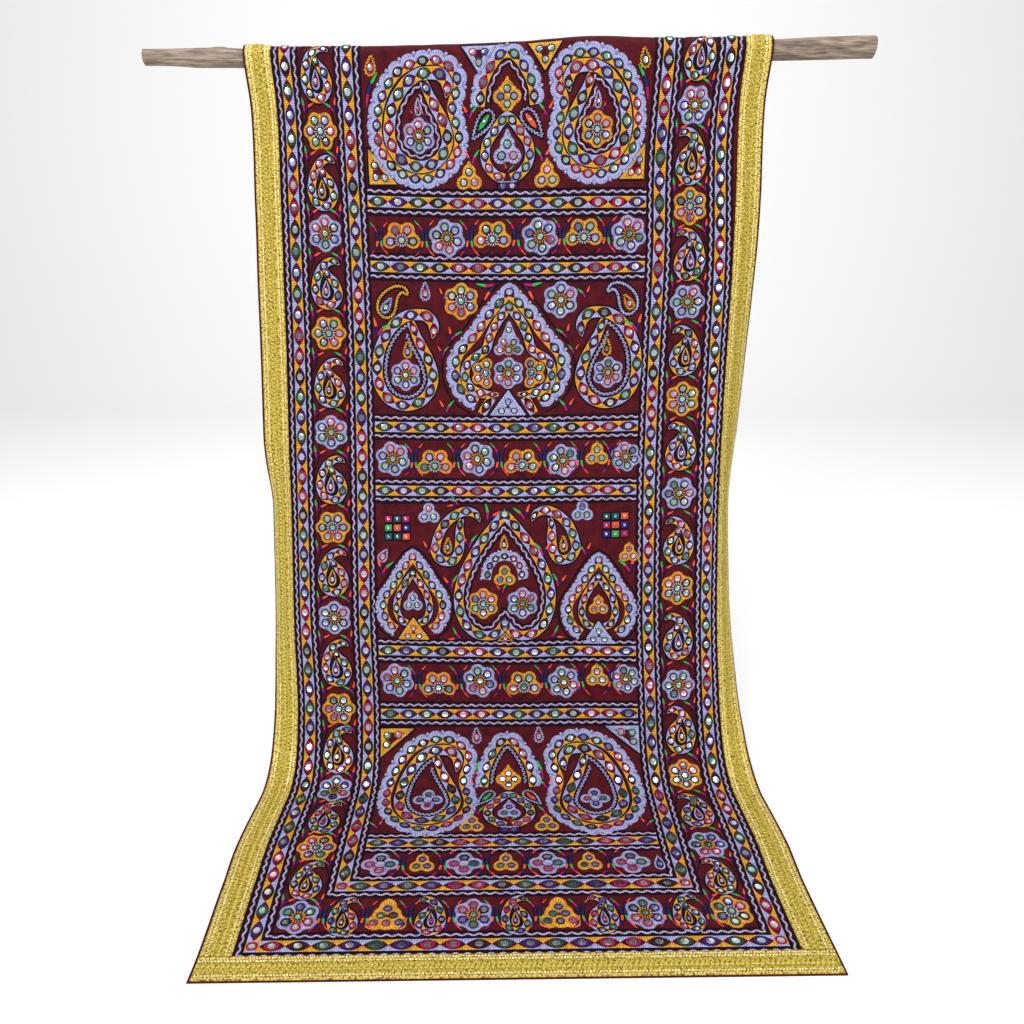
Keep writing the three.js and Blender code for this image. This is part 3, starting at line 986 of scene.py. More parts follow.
ARCH_HALF = [(0, 93), (13, 89), (30, 69), (43, 43), (47, 13)]
BOWL_HALF = [(0, -3), (9, -10), (23, -27), (37, -48), (37, -74), (22, -93), (6, -100)]
FOOT_HALF = 17


def block(half_width, half_height, middle=(0, 0)):
    """A closed route round a block, anticlockwise."""
    u, v = middle
    return straight_sides([(u - half_width, v - half_height), (u + half_width, v - half_height),
                           (u + half_width, v + half_height), (u - half_width, v + half_height)])


def vase(heart, rise=1.0, deep=1.0):
    """The middle of an end panel: an arch over a leaf, two side leaves and a round vase, whose rim
    lies at the origin. The arch is drawn taller by rise, the vase by deep."""
    work = Work()
    arch = both_halves(ARCH_HALF, tall=rise)
    mirror_band(work, arch, 17.0, 8, ("lilac", "lilac"), ("orange", "orange"))
    scallops(work, arch, 8.3, 8)
    outline(work, arch, -9.6, 2.6)
    inner = part_of(arch, 0.04, 0.96, -14.6)
    if rise > 1:
        toothed(work, "lilac", inner, 0, 8.0, 2.6, 2.6)
    else:
        wavy(work, "wave", inner, width=2.6)
    outline(work, part_of(arch, 0.02, 0.98, -18.4), 0, 2.0)
    work.sew(heart, 0, 27 * rise)
    bowl = both_halves(BOWL_HALF, tall=deep)
    mirror_band(work, bowl, 16.0, 12, size=0.95)
    edged(work, bowl, 9.1, 2.6)
    work.sew(trefoil("lilac", 13), 0, -58 * deep, size=1.1 * deep)
    work.sew(sprig(), 0, -92 * deep, size=0.6)
    foot_line = -94 * deep - 17
    ribbon(work, "lilac", [(-FOOT_HALF, foot_line + 8), (FOOT_HALF, foot_line + 8)],
           [(-FOOT_HALF, foot_line + 5), (FOOT_HALF, foot_line + 5)], height=0.6)
    outline(work, block(FOOT_HALF, 6, (0, foot_line)), -1.5, 2.2)
    for u in (-8, 8):
        mirror(work, (u, foot_line - 1), 0, 0.72, 1.1, dye="violet")
    for side, dye in ((-1, "green"), (1, "red")):
        leaf = Work()
        outer = Route(drop_path(27, 54), True)
        toothed(leaf, "lilac", outer)
        outline(leaf, outer, 3.4, 2.0, 4)
        outline(leaf, outer, -3.4, 1.6, 4)
        leaf_bar(leaf, [(0, -20), (0, -7), (0, 9)], [dye], 10)
        mirror(leaf, (0, -8), 90, 0.42, 1.3, dye=dye)
        work.sew(leaf, side * 44, -16 * deep, turn=180 + side * 38, size=deep)
    return work


# %% [markdown]
# Now the design is laid out. Two mirror bands with wavy lines run right round the cloth as nested
# frames, and pairs of motifs climb the column between them. Inside the inner frame the cloth is
# divided by short mirror bands into panels and rows.

# %% Frames and bands on the cloth
BAND_WIDTH = 20.0
OUTER_FRAME = {"u": 385.0, "v": 59.0}
INNER_FRAME = {"u": 273.0, "v": 173.0}
FIELD_HALF = 248.0
COLUMN = (OUTER_FRAME["u"] + INNER_FRAME["u"]) / 2
WAVY_OFFSET = 17.2
EDGE_LINES = {12.5: 5.2, 22.3: 4.6}
CROSS_BANDS = {
    "left": [271, 563, 687, 997, 1118, 1410, 1522, 1808],
    "middle": [270, 561, 683, 994, 1114, 1404, 1515, 1808],
    "right": [271, 558, 680, 992, 1113, 1402, 1512, 1808],
}
tapestry = Work()


def straight(start, end):
    """A straight route with close steps, for where the cloth bends over the pole."""
    start, end = np.array(start, float), np.array(end, float)
    count = max(2, int(np.linalg.norm(end - start) / 3.0))
    return Route(start + (end - start) * np.linspace(0, 1, count)[:, None])


def thinned(route, side):
    """Stations for a plain line: every 12 mm, but every 3 mm where the cloth turns over the pole."""
    s = np.arange(0, route.length + 1.5, 3.0)
    v = route.place(s)[:, 1]
    keep = (np.arange(len(s)) % 4 == 0) | (np.abs(v - FRONT_LENGTH) < ARC_LENGTH + 12)
    keep[[0, -1]] = True
    return route.place(s[keep], side)


def frame_sides(u, v):
    """The four sides of a frame, each walked so that its left looks out."""
    top = CLOTH_LENGTH - v
    return [straight((-u, v), (-u, top)), straight((-u, top), (u, top)),
            straight((u, top), (u, v)), straight((u, v), (-u, v))]


def framed(work, middle, pitch):
    """A mirror band round the cloth, with a square at each corner and lines along both edges."""
    for k, route in enumerate(frame_sides(middle["u"], middle["v"])):
        inset = BAND_WIDTH / 2
        run = Route(route.place(np.linspace(inset, route.length - inset, int(route.length / 3))))
        mirror_band(work, run, BAND_WIDTH, round(run.length / pitch), swap=k % 2, longer=1.3)
    for side in (-1, 1):
        for v in (middle["v"], CLOTH_LENGTH - middle["v"]):
            work.sew(corner_square(), side * middle["u"], v)
    for away, width in EDGE_LINES.items():
        for sign in (-1, 1):
            for route in frame_sides(middle["u"] + sign * away, middle["v"] - sign * away):
                cord(work, "outline", thinned(route, 0), width, height=0.6)
    for away in (-WAVY_OFFSET, WAVY_OFFSET):
        for route in frame_sides(middle["u"] + away, middle["v"] - away):
            wavy(work, "wave", route, samples=7)


def corner_square():
    """Where two sides of a frame meet: a mirror on its eye, set in lilac."""
    work = Work()
    half = BAND_WIDTH / 2
    for turn in (0, 90, 180, 270):
        part = Work()
        ribbon(part, ("lilac", "orange")[turn // 90 % 2], [(-half, half), (half, half)],
               [(-5, 6), (5, 6)], height=0.5)
        work.sew(part, 0, 0, turn=turn)
    mirror(work, (0, 0), 0, 0.95, 1.15, dye="magenta")
    return work


framed(tapestry, OUTER_FRAME, 37.2)
framed(tapestry, INNER_FRAME, 37.2)
for k, (left, v, right) in enumerate(zip(*CROSS_BANDS.values())):
    across_u = np.linspace(-1, 1, 160)
    bend = v + (right - left) / 2 * across_u + ((right + left) / 2 - v) * across_u ** 2
    route = Route(np.column_stack([across_u * FIELD_HALF, bend]))
    mirror_band(tapestry, route, BAND_WIDTH - 1, 14, swap=k % 2, longer=1.3)
    for sign in (-1, 1):
        for away, width in EDGE_LINES.items():
            cord(tapestry, "outline", thinned(route, sign * away), width, height=0.6)
        wavy(tapestry, "wave", route, sign * WAVY_OFFSET)
print("mirrors in the bands:", mirror_count)

# %% [markdown]
# Up the columns, flowers in lilac and orange take turns with small paisleys. Each one is made afresh,
# so that its mirrors and ring colours differ, as they do when every motif is sewn by itself.

# %% Columns
LEFT_FLOWERS = [112, 261, 413, 574, 752, 926, 1107, 1290, 1466, 1634, 1812, 1966]
RIGHT_FLOWERS = [114, 259, 435, 610, 799, 982, 1160, 1337, 1502, 1663, 1828, 1966]
COLUMN_LINE = 31.5


def climb(work, side, flowers, first):
    """Flowers up one column, with a paisley, sprigs and thin bows between each two."""
    for k, v in enumerate(flowers):
        colour = ("lilac", "orange")[(k + first) % 2]
        work.sew(flower(colour), side * COLUMN, v, turn=(0, 30)[k % 2], size=0.97)
        if k + 1 == len(flowers):
            break
        gap = flowers[k + 1] - v
        inner = ("orange", "lilac")[k % 2]
        size = min(1.0, (gap - 62) / 98)
        work.sew(small_paisley(inner, k % 2), side * COLUMN, v + gap / 2 + 1, size=size, flip=side > 0)
        for meeting in (v + gap * 0.235, v + gap * 0.8):
            for edge in (-1, 1):
                place = side * COLUMN + edge * (COLUMN_LINE - 3)
                dyes = (("indigo", "red"), ("magenta", "green"))
                work.sew(sprig(*dyes[::edge]), place, meeting - 12, turn=edge * 9, size=0.82,
                         flip=edge > 0)
                bow = [(place + edge * 2, meeting - 34), (place - edge * 4, meeting - 16),
                       (place - edge * 9, meeting), (place - edge * 4, meeting + 16),
                       (place + edge * 2, meeting + 34)]
                cord(work, "outline", smooth(bow, steps=4), 1.9, height=0.5)


climb(tapestry, -1, LEFT_FLOWERS, 0)
climb(tapestry, 1, RIGHT_FLOWERS, 1)


# %% Rows between the bands
def row(work, v, motifs, height=58.0):
    """Motifs side by side, with two bows back to back in every gap."""
    for k, (u, make, size, up) in enumerate(motifs):
        work.sew(make(), u, v + up, size=size)
        if k + 1 < len(motifs):
            work.sew(crossing(height), (u + motifs[k + 1][0]) / 2, v)


def lilac_flower():
    """A flower set a little askew, as those of the rows are."""
    work = Work()
    work.sew(flower("lilac"), 0, 0, turn=12)
    return work


def orange_trefoil():
    return trefoil("orange")


def lilac_quatrefoil():
    return quatrefoil("lilac")


FIRST_ROW = [-191, -109.5, -28, 57, 136, 217]
row(tapestry, 1458, [(u, (rooted_crown, lilac_flower)[k % 2], 1.0, (-3, 0)[k % 2])
                     for k, u in enumerate(FIRST_ROW)])
tapestry.sew(crossing(), -231, 1458, size=0.9)
MIDDLE_ROW = {
    "u": [-215, -135, -54, 30, 108, 173, 227],
    "motif": [lilac_flower, rooted_crown, lilac_flower, rooted_crown, lilac_flower, orange_trefoil,
              lilac_flower],
    "size": [1, 1, 1, 1, 0.96, 1, 0.86],
    "up": [2, -12, 1, -12, -5, 4, 0],
}
for v in (1055, 626):
    row(tapestry, v, list(zip(*MIDDLE_ROW.values())))
END_ROW_START, END_ROW_PITCH = -219, 69
for v in (221, 1859):
    row(tapestry, v, [(END_ROW_START + END_ROW_PITCH * k, (lilac_quatrefoil, orange_trefoil)[k % 2],
                       (0.98, 0.95)[k % 2], -1) for k in range(7)], 54)
    tapestry.sew(small_drop("lilac", 17, 30), 241, v - 2)


def pyramid():
    """An orange triangle with a scalloped rim, filled with six mirrors."""
    work = Work()
    rim = straight_sides([(-27, -19), (27, -19), (0, 30)], 3.0)
    s = np.linspace(0, rim.length, 66, endpoint=False)
    edge = rim.place(s, -(5.5 + 2.6 * np.abs(np.sin(np.pi * s * 9 / rim.length))))
    ribbon(work, "orange", edge * 0.1, edge, height=0.5, closed=True)
    cord(work, "orange", edge, 2.0, height=1.0, closed=True)
    for at in [(0, 14), (-10, 0), (10, 0), (-20, -14), (0, -15), (20, -14)]:
        mirror(work, at, 0, 0.84, 1.1)
    return work


OUTER_ROW = "paisley pyramid paisley flower paisley pyramid paisley flower paisley".split()
OUTER_ROW_V, OUTER_ROW_PITCH = 113, 65.4
for v in (OUTER_ROW_V, CLOTH_LENGTH - OUTER_ROW_V):
    for k, kind in enumerate(OUTER_ROW, start=1):
        u = -326 + OUTER_ROW_PITCH * k
        if kind == "paisley":
            tapestry.sew(small_paisley(("orange", "lilac")[k // 2 % 2], k % 4 // 2), u, v, size=0.82,
                         flip=k in (3, 7))
        else:
            tapestry.sew(flower("lilac") if kind == "flower" else pyramid(), u, v, size=0.95)
        tapestry.sew(crossing(60), u - 33, v, size=0.9)
    tapestry.sew(crossing(60), COLUMN - 35, v, size=0.9)

# %% [markdown]
# The four panels are laid out by short lists: where each motif goes, and where the sprigs spring,
# with their turn and size.

# %% Panels at the two ends of the front
def sprigs(work, v, places):
    """Sprigs at (u, up, turn, size) about a height v. Those on the right are turned over."""
    for u, up, turn, size in places:
        work.sew(sprig(), u, v + up, turn=-turn if u > 0 else turn, size=size, flip=u > 0)


CORNER = [(-28, 22), (-28, -24), (27, 22)]
CORNER_MIRRORS = [(-17, 11), (-18, -4), (1, 12)]
TOP_TRIANGLE = [(-29, 22), (0, -22), (29, 22)]
TOP_MIRRORS = [(-10, 11), (10, 11), (0, -5)]
END_SPRIGS = [(-66, 0, 10, 0.9), (66, 0, 10, 0.9), (-62, -70, 15, 0.9), (60, -70, 15, 0.9)]


def end_panel(work, v, hearts, sizes, line):
    """Two ringed paisleys. sizes gives the rings' and the paisleys' width and height."""
    for side, heart in ((-1, hearts[0]), (1, hearts[1])):
        work.sew(ring_of_scallops(*sizes[:2]), side * 155, v, flip=side > 0)
        fine = line == "wavy"
        work.sew(large_paisley(heart, *sizes[2:], line, fine, 0.87 if fine else 1.0), side * 154, v,
                 flip=side > 0)
    sprigs(work, v, END_SPRIGS)


end_panel(tapestry, 1650, (flower("lilac"), flower("orange")), (0.98, 1.0, 51, 72), "wavy")
tapestry.sew(vase(leaf_heart("orange")), -1, 1656)
for side, thread in ((-1, "lilac"), (1, "orange")):
    tapestry.sew(trefoil("orange", 9), side * 68, 1557, size=1.02)
    tapestry.sew(triangle(thread, TOP_TRIANGLE, TOP_MIRRORS, 0.74, 7), 7 + side * 56, 1740)
    tapestry.sew(triangle("orange", CORNER, CORNER_MIRRORS, 0.7, 6), side * 220, 1579, turn=side * -90,
                 size=1.05, flip=side > 0)
    leaf_bar(tapestry, [(side * 242, 1672), (side * 237, 1698), (side * 221, 1724)],
             ("magenta", "indigo", "green"), 6.5)
    tapestry.sew(small_drop("orange", 18, 30, teeth=True), side * 232, 1735, turn=side * 8)
end_panel(tapestry, 410, (leaf_heart("lilac", 15.0, 2), leaf_heart("lilac", 15.0, 2)), (1.06, 1.14, 53, 83),
          "toothed")
tapestry.sew(vase(leaf_heart("orange"), 1.2, 0.87), -5, 400)
for side, thread in ((-1, "orange"), (1, "lilac")):
    tapestry.sew(trefoil("orange", 9), side * 66 - 5, 314, size=0.98)
    tapestry.sew(triangle(thread, CORNER, CORNER_MIRRORS, 0.7, 6), side * 216, 508, size=1.2,
                 flip=side > 0)
    tapestry.sew(small_drop("lilac", 17, 30, teeth=True), side * 60 - 4, 521)
    tapestry.sew(sprig(), side * 236, 306, size=0.8, flip=side < 0)
    leaf_bar(tapestry, [(side * 66 - 5, 432), (side * 61 - 5, 458), (side * 44 - 5, 486)],
             ("magenta", "green", "indigo"), 5.6)

# %% The upper middle panel: a great spade between two paisleys
SPADE_SPRIGS = [(-24, 119, 130, 1.15), (29, 119, 130, 1.15), (-118, 93, 0, 0.8), (143, 92, 0, 0.8),
                (-240, 30, -6, 1.15), (240, 30, -6, 1.15), (-104, 20, -8, 0.9), (110, 22, -8, 0.9),
                (-120, -8, 10, 0.7), (124, -8, 10, 0.7), (-114, -114, 10, 0.95), (114, -114, 10, 0.95)]
tapestry.sew(great_spade(), 3, 1257)
for side in (-1, 1):
    tapestry.sew(large_paisley(flower("lilac"), 53, 83, "toothed"), side * 189, 1241, flip=side > 0)
    tapestry.sew(open_paisley(("orange", "lilac")[side > 0], ("lilac", "orange")[side > 0]),
                 side * 213, 1347, flip=side > 0)
    tapestry.sew(flower(("orange", "lilac")[side > 0]), 6 + side * 91, 1347, size=1.0)
tapestry.sew(small_drop("lilac", 17, 32, teeth=True), -151, 1366)
sprigs(tapestry, 1257, SPADE_SPRIGS)

# %% The lower middle panel: a heart between two spades
HEART_SPRIGS = [(-90, 135, 80, 0.8), (-70, 52, 12, 1.0), (71, 34, 12, 1.05), (-148, 42, 6, 0.9),
                (154, 34, 6, 0.9), (-104, -26, 20, 0.95), (101, -26, 20, 0.95), (-238, 2, 0, 1.1),
                (238, 0, 0, 1.1), (-88, -124, 77, 0.9), (86, -124, 77, 0.9)]
tapestry.sew(great_heart(), -2, 834)
for side in (-1, 1):
    tapestry.sew(side_spade(("lilac", "orange")[side > 0], ("orange", "lilac")[side > 0]),
                 side * 179, (795, 783)[side > 0])
    tapestry.sew(small_paisley("orange", 0, LEANING_HOOK, True), side * 111, 899, flip=side > 0)
    tapestry.sew(trefoil("lilac", 0), side * 147, 951, size=0.95)
tapestry.sew(trefoil("orange"), 236, 869, size=0.86)
tapestry.sew(small_drop("lilac", 18, 26, dye="magenta"), -235, 872, turn=-30)
sprigs(tapestry, 834, HEART_SPRIGS)
for side, turn in ((-1, -40), (1, 0)):
    tapestry.sew(sprig(), side * 36, 939, turn=turn, size=1.1, flip=True)


# %% [markdown]
# Two groups of small bright squares, each with a mirror, fill the upper corners of that panel. They
# are set as a plain checker of squares round a middle one.

# %% Squares of bright stitch
SQUARE_PITCH, SQUARE_HALF = 17, 6.4
CHECKER = [(0, 0), (-1, 0), (1, 0), (0, 1), (0, -1), (-1, 1), (1, -1), (1, 1), (-1, -1)]


def squares(dyes):
    """Nine squares with a mirror in each, in a plain checker of three by three."""
    work = Work()
    for (column, line), dye in zip(CHECKER, dyes.split()):
        u, v = column * SQUARE_PITCH, line * SQUARE_PITCH
        ribbon(work, "bright", [(u - SQUARE_HALF, v + SQUARE_HALF), (u + SQUARE_HALF, v + SQUARE_HALF)],
               [(u - SQUARE_HALF, v - SQUARE_HALF), (u + SQUARE_HALF, v - SQUARE_HALF)], height=0.5, dye=dye)
        mirror(work, (u, v), 0, 0.5, dye=dye)
        outline(work, block(SQUARE_HALF + 0.8, SQUARE_HALF + 0.8, (u, v)), 0, 2.2)
    return work


tapestry.sew(squares("red green violet teal deep_green magenta red magenta teal"), -208, 925)
tapestry.sew(squares("red magenta violet teal green deep_green magenta red violet"), 210, 925)
print("mirrors in all:", mirror_count)

# %% [markdown]
# Sewing on means draping each pile and making it one mesh for each thread. The flat places go into
# the UV map in metres, so that weave and stitch keep their scale, and the dye into a colour
# attribute.

# %% Make a piece of each thread
def new_piece(name, points, triangles, marks=None, colour=None):
    """A mesh of equal faces. marks become its UV map, in metres, and colour the dye at each corner."""
    mesh = bpy.data.meshes.new(name)
    mesh.vertices.add(len(points))
    mesh.vertices.foreach_set("co", points.astype(np.float32).ravel())
    mesh.loops.add(triangles.size)
    mesh.loops.foreach_set("vertex_index", triangles.astype(np.int32).ravel())
    sides = triangles.shape[1]
    mesh.polygons.add(len(triangles))
    mesh.polygons.foreach_set("loop_start", np.arange(0, triangles.size, sides, dtype=np.int32))
    mesh.update(calc_edges=True)
    if marks is not None:
        layer = mesh.uv_layers.new(name="UVMap")
        layer.data.foreach_set("uv", (marks[triangles.ravel()] * MM).astype(np.float32).ravel())
    if colour is not None:
        # On the mirror discs this dye is their painted reflection tone.
        dye = mesh.color_attributes.new("dye", "FLOAT_COLOR", "POINT")
        dye.data.foreach_set("color", np.column_stack([colour, np.ones(len(colour))])
                             .astype(np.float32).ravel())
    mesh.polygons.foreach_set("use_smooth", np.ones(len(triangles), bool))
    piece = bpy.data.objects.new(name, mesh)
    bpy.context.scene.collection.objects.link(piece)
    return piece


def soften(piece, angle=50):
    """Smooth shading, but for edges sharper than an angle in degrees."""
    deselect()
    bpy.context.view_layer.objects.active = piece
    piece.select_set(True)
    bpy.ops.object.shade_smooth_by_angle(angle=math.radians(angle))


UPPER_RIGHT = {"most": 7.5, "u": 200, "ramp": 70, "v": 1590, "reach": 125}


def settle(points):
    """The drawn design wanders a little from its plan: in at the upper right."""
    ramp_in = smooth_step((points[:, 0] - UPPER_RIGHT["u"]) / UPPER_RIGHT["ramp"])
    near = np.exp(-((points[:, 1] - UPPER_RIGHT["v"]) / UPPER_RIGHT["reach"]) ** 2)
    return points - np.outer(UPPER_RIGHT["most"] * ramp_in * near, (1, 0, 0))


def sew_on(name, work, thread, place=drape):
    """Drapes the work of one thread, and makes it a piece that goes with the cloth."""
    points, triangles, marks, colour = work.merged(thread)
    piece = new_piece(name, place(points), triangles, marks, colour if thread in DYED else None)
    soften(piece)
    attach(piece, "root")
    print(name, len(triangles), "triangles")
    return piece


DYED = ("bright", "ring", "glass")
PIECES = {
    "wave": ("wavy_lines", "lilac_thread"),
    "lilac": ("lilac_needlework", "lilac_thread"),
    "orange": ("orange_needlework", "orange_thread"),
    "outline": ("dark_outlines", "outline_thread"),
    "bright": ("bright_needlework", "bright_thread"),
    "ring": ("mirror_rings", "bright_thread"),
    "glass": ("mirror_discs", "mirror"),
}
sewn = {}
for thread, (name, slot) in PIECES.items():
    sewn[thread] = sew_on(name, tapestry, thread, lambda points: drape(settle(points)))

# %% [markdown]
# The ground cloth is one closed sheet on the same folds, finer than the solid. Around the motifs
# the stitching draws it into very small puckers. Its two faces and its hem are one mesh.

# %% Ground cloth
COLUMN_STEP, ROW_STEP = 10.0, 10.0
PUCKER, PUCKER_SINK = 0.22, 0.3


def sheet(name, u_marks, v_marks, low, high):
    """A closed sheet over a grid; low and high are heights over the face, numbers or functions."""
    u, v = np.meshgrid(u_marks, v_marks)
    u, v = u.ravel(), v.ravel()
    heights = [value(u, v) if callable(value) else np.full(len(u), float(value)) for value in (low, high)]
    points = np.concatenate([drape(np.column_stack([u, v, height])) for height in heights])
    wide, layer = len(u_marks), len(u)
    j, i = np.meshgrid(np.arange(len(v_marks) - 1), np.arange(wide - 1), indexing="ij")
    a = (j * wide + i).ravel()
    top = np.column_stack([a, a + 1, a + 1 + wide, a + wide]) + layer
    bottom = np.column_stack([a, a + wide, a + 1 + wide, a + 1])
    k = np.arange(wide - 1)
    far = layer - wide + k
    m = np.arange(len(v_marks) - 1) * wide
    right = m + wide - 1
    walls = [np.column_stack([k, k + 1, k + 1 + layer, k + layer]),
             np.column_stack([far, far + layer, far + 1 + layer, far + 1]),
             np.column_stack([m, m + layer, m + wide + layer, m + wide]),
             np.column_stack([right, right + wide, right + wide + layer, right + layer])]
    faces = np.concatenate([top, bottom] + walls)
    marks = np.tile(np.column_stack([u, v]), (2, 1))
    return new_piece(name, points, faces, marks)


def pucker(u, v):
    """The least waviness, where stitches draw the cloth in."""
    across_waves = np.sin(u / 9.3 + 1.7 * np.sin(v / 31))
    along_waves = np.sin(v / 11.7 + 0.8 * np.sin(u / 27))
    return PUCKER * across_waves * along_waves - PUCKER_SINK


def dense_rows(v_low, v_high, step):
    """Rows every step, and closer where the cloth turns over the pole."""
    plain = np.arange(v_low, v_high, step)
    turn = np.arange(FRONT_LENGTH - ARC_LENGTH - 8, FRONT_LENGTH + ARC_LENGTH + 8, step / 2)
    marks = np.concatenate([plain[(plain < turn[0] - 1) | (plain > turn[-1] + 1)], turn, [v_high]])
    return np.unique(marks[(marks >= v_low) & (marks <= v_high)])


def stand_for(piece, solid):
    """Makes a piece ride on the body in place of a plain solid."""
    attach(piece, "root")
    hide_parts(solid)


cloth = sheet("tapestry_cloth", np.linspace(-HALF_WIDTH, HALF_WIDTH, int(CLOTH_WIDTH / COLUMN_STEP)),
              dense_rows(0, CLOTH_LENGTH, ROW_STEP), -CLOTH_THICKNESS, pucker)
stand_for(cloth, "ground_cloth")
print("cloth", len(cloth.data.polygons) * 2, "triangles")

# %% [markdown]
# The gold lace is a woven strip with a thick braid along its middle and two rows of spangles near
# either edge. The strip's section is a table of ridges. The braid is one bent lump, repeated.

# %% Gold lace
LACE_OUT, LACE_WIDTH, END_LACE_WIDTH, END_INSET = 456.0, 46.0, 40.0, 1.5
LACE_LIFT, LACE_SINK = 0.35, 0.25
LACE_RIB, RIB_LENGTH = 0.12, 1.9
LACE_GAP = 0.6
LACE_SECTION = {
    "along": [0, 0.04, 0.09, 0.14, 0.24, 0.30, 0.35, 0.42, 0.5,
              0.58, 0.65, 0.70, 0.76, 0.86, 0.91, 0.96, 1],
    "height": [0.5, 1.3, 1.2, 0.7, 0.7, 1.4, 1.2, 0.8, 0.9, 0.8, 1.2, 1.4, 0.7, 0.7, 1.2, 1.3, 0.5],
}
V_FRONT = END_INSET + END_LACE_WIDTH + LACE_GAP
V_BACK = CLOTH_LENGTH - V_FRONT
LACE_STRIPS = {
    "left": ((-LACE_OUT, V_FRONT), (-LACE_OUT + LACE_WIDTH, V_BACK), "v"),
    "right": ((LACE_OUT - LACE_WIDTH, V_FRONT), (LACE_OUT, V_BACK), "v"),
    "front": ((-LACE_OUT, END_INSET), (LACE_OUT, V_FRONT - LACE_GAP), "u"),
    "back": ((-LACE_OUT, V_BACK + LACE_GAP), (LACE_OUT, CLOTH_LENGTH - END_INSET), "u"),
}


def lace(place, low_corner, high_corner, lengthwise):
    """A strip between two flat corners. lengthwise is the way it runs: 'u' or 'v'."""
    (u0, v0), (u1, v1) = low_corner, high_corner
    shares = np.array(LACE_SECTION["along"])
    if lengthwise == "v":
        u_marks, v_marks = u0 + (u1 - u0) * shares, dense_rows(v0, v1, 9.0)
    else:
        u_marks, v_marks = np.linspace(u0, u1, int((u1 - u0) / 7)), v0 + (v1 - v0) * shares

    def top(u, v):
        share, run = ((u - u0) / (u1 - u0), v) if lengthwise == "v" else ((v - v0) / (v1 - v0), u)
        ridges = np.interp(share, shares, LACE_SECTION["height"])
        return LACE_LIFT + ridges + LACE_RIB * np.sin(run / RIB_LENGTH)

    strip = sheet("lace_" + place, u_marks, v_marks, LACE_LIFT - LACE_SINK, top)
    soften(strip, 60)
    stand_for(strip, "border_" + place)
    return strip


laces = [lace(place, *corners) for place, corners in LACE_STRIPS.items()]

# %% Braid and spangles
BRAID_PITCH, BRAID_WIDTH, BRAID_HEIGHT = 7.2, 4.4, 1.7
BRAID_LUMP = {"side": [1.0, 3.4, 5.8, 8.4], "way": [-2.6, 0, 1.6, 0], "lean": [0, 0.6, 0, -0.6]}
SPANGLE_PITCH, SPANGLE_TURN, SPANGLE_TIP = 4.6, 37, 0.3
SPANGLE_ROWS = (-0.42, -0.3, 0.3, 0.42)


def braid(work, start, end, width, lean):
    """Bent lumps along the middle of a strip, and two rows of spangles along either edge."""
    start, end = np.array(start, float), np.array(end, float)
    length = np.linalg.norm(end - start)
    way = (end - start) / length
    side = np.array([-way[1], way[0]])
    turn = math.degrees(math.atan2(way[1], way[0]))
    for k in range(int(length / BRAID_PITCH)):
        at = start + way * BRAID_PITCH * (k + 0.5)
        for half in (-1, 1):
            lump = [at + side * half * aside + way * (ahead + leaning * lean)
                    for aside, ahead, leaning in zip(*BRAID_LUMP.values())]
            cord(work, "braid", lump, BRAID_WIDTH, height=BRAID_HEIGHT, lift=LACE_LIFT + 0.6)
    for k in range(int(length / SPANGLE_PITCH)):
        for line, edge in enumerate(SPANGLE_ROWS):
            at = start + way * SPANGLE_PITCH * (k + 0.5 + line % 2 / 2) + side * width * edge
            tip = (chance.uniform(-SPANGLE_TIP, SPANGLE_TIP), chance.uniform(-SPANGLE_TIP, SPANGLE_TIP))
            press(work, "spangle", SPANGLE, at, turn=turn + SPANGLE_TURN * k, lift=LACE_LIFT + 0.9, tip=tip)


trim = Work()
for side in (-1, 1):
    middle = side * (LACE_OUT - LACE_WIDTH / 2)
    braid(trim, (middle, V_FRONT), (middle, V_BACK), LACE_WIDTH, side)
for v in (END_INSET + END_LACE_WIDTH / 2, CLOTH_LENGTH - END_INSET - END_LACE_WIDTH / 2):
    braid(trim, (-LACE_OUT, v), (LACE_OUT, v), END_LACE_WIDTH, 1)
sewn["braid"] = sew_on("gold_braid", trim, "braid")
sewn["spangle"] = sew_on("lace_spangles", trim, "spangle")

# %% [markdown]
# The cloth and its lace ride on the body in place of their solids, and the needlework goes with the cloth.

# %% [markdown]
# The pole is a branch with its bark off. It starts as a cylinder along X, cut into many rings, and
# each ring is moved to the branch's own heart and radius, with grooves along the grain.

# %% Pole
POLE_LENGTH, POLE_RINGS, POLE_SIDES = 1240.0, 101, 56
deselect()
bpy.ops.mesh.primitive_cylinder_add(vertices=POLE_SIDES, radius=0.015, depth=POLE_LENGTH * MM,
                                    rotation=(0, math.pi / 2, 0), end_fill_type="NGON")
branch = bpy.context.object
branch.name = "pole_branch"
bpy.ops.object.transform_apply(location=False, rotation=True, scale=False)
bpy.ops.object.mode_set(mode="EDIT")
bpy.ops.mesh.select_mode(type="EDGE")
bpy.ops.mesh.select_all(action="DESELECT")
leave()
for edge in branch.data.edges:
    ends = [branch.data.vertices[index].co.x for index in edge.vertices]
    edge.select = abs(ends[0] - ends[1]) > 0.5
bpy.ops.object.mode_set(mode="EDIT")
bpy.ops.mesh.subdivide(number_cuts=POLE_RINGS - 1)
bpy.ops.mesh.select_all(action="SELECT")
bpy.ops.mesh.normals_make_consistent(inside=False)
leave()

# %% [markdown]
# The branch's marks are soft lumps on its skin: a knot and a bump near the left end, and an old scar
# with a raised lip near the right, which shows on both of its sides.

# %% Shape the branch
BRANCH_MARKS = {
    "height": [3.0, 2.2, -1.5, 1.1],
    "x": [-491, -530, 548, 548],
    "reach": [13, 17, 26, 34],
    "around": [1.2, -2.0, 2.9, 2.35],
    "spread": [0.7, 0.6, 0.4, 0.16],
    "both_sides": [False, False, True, True],
}


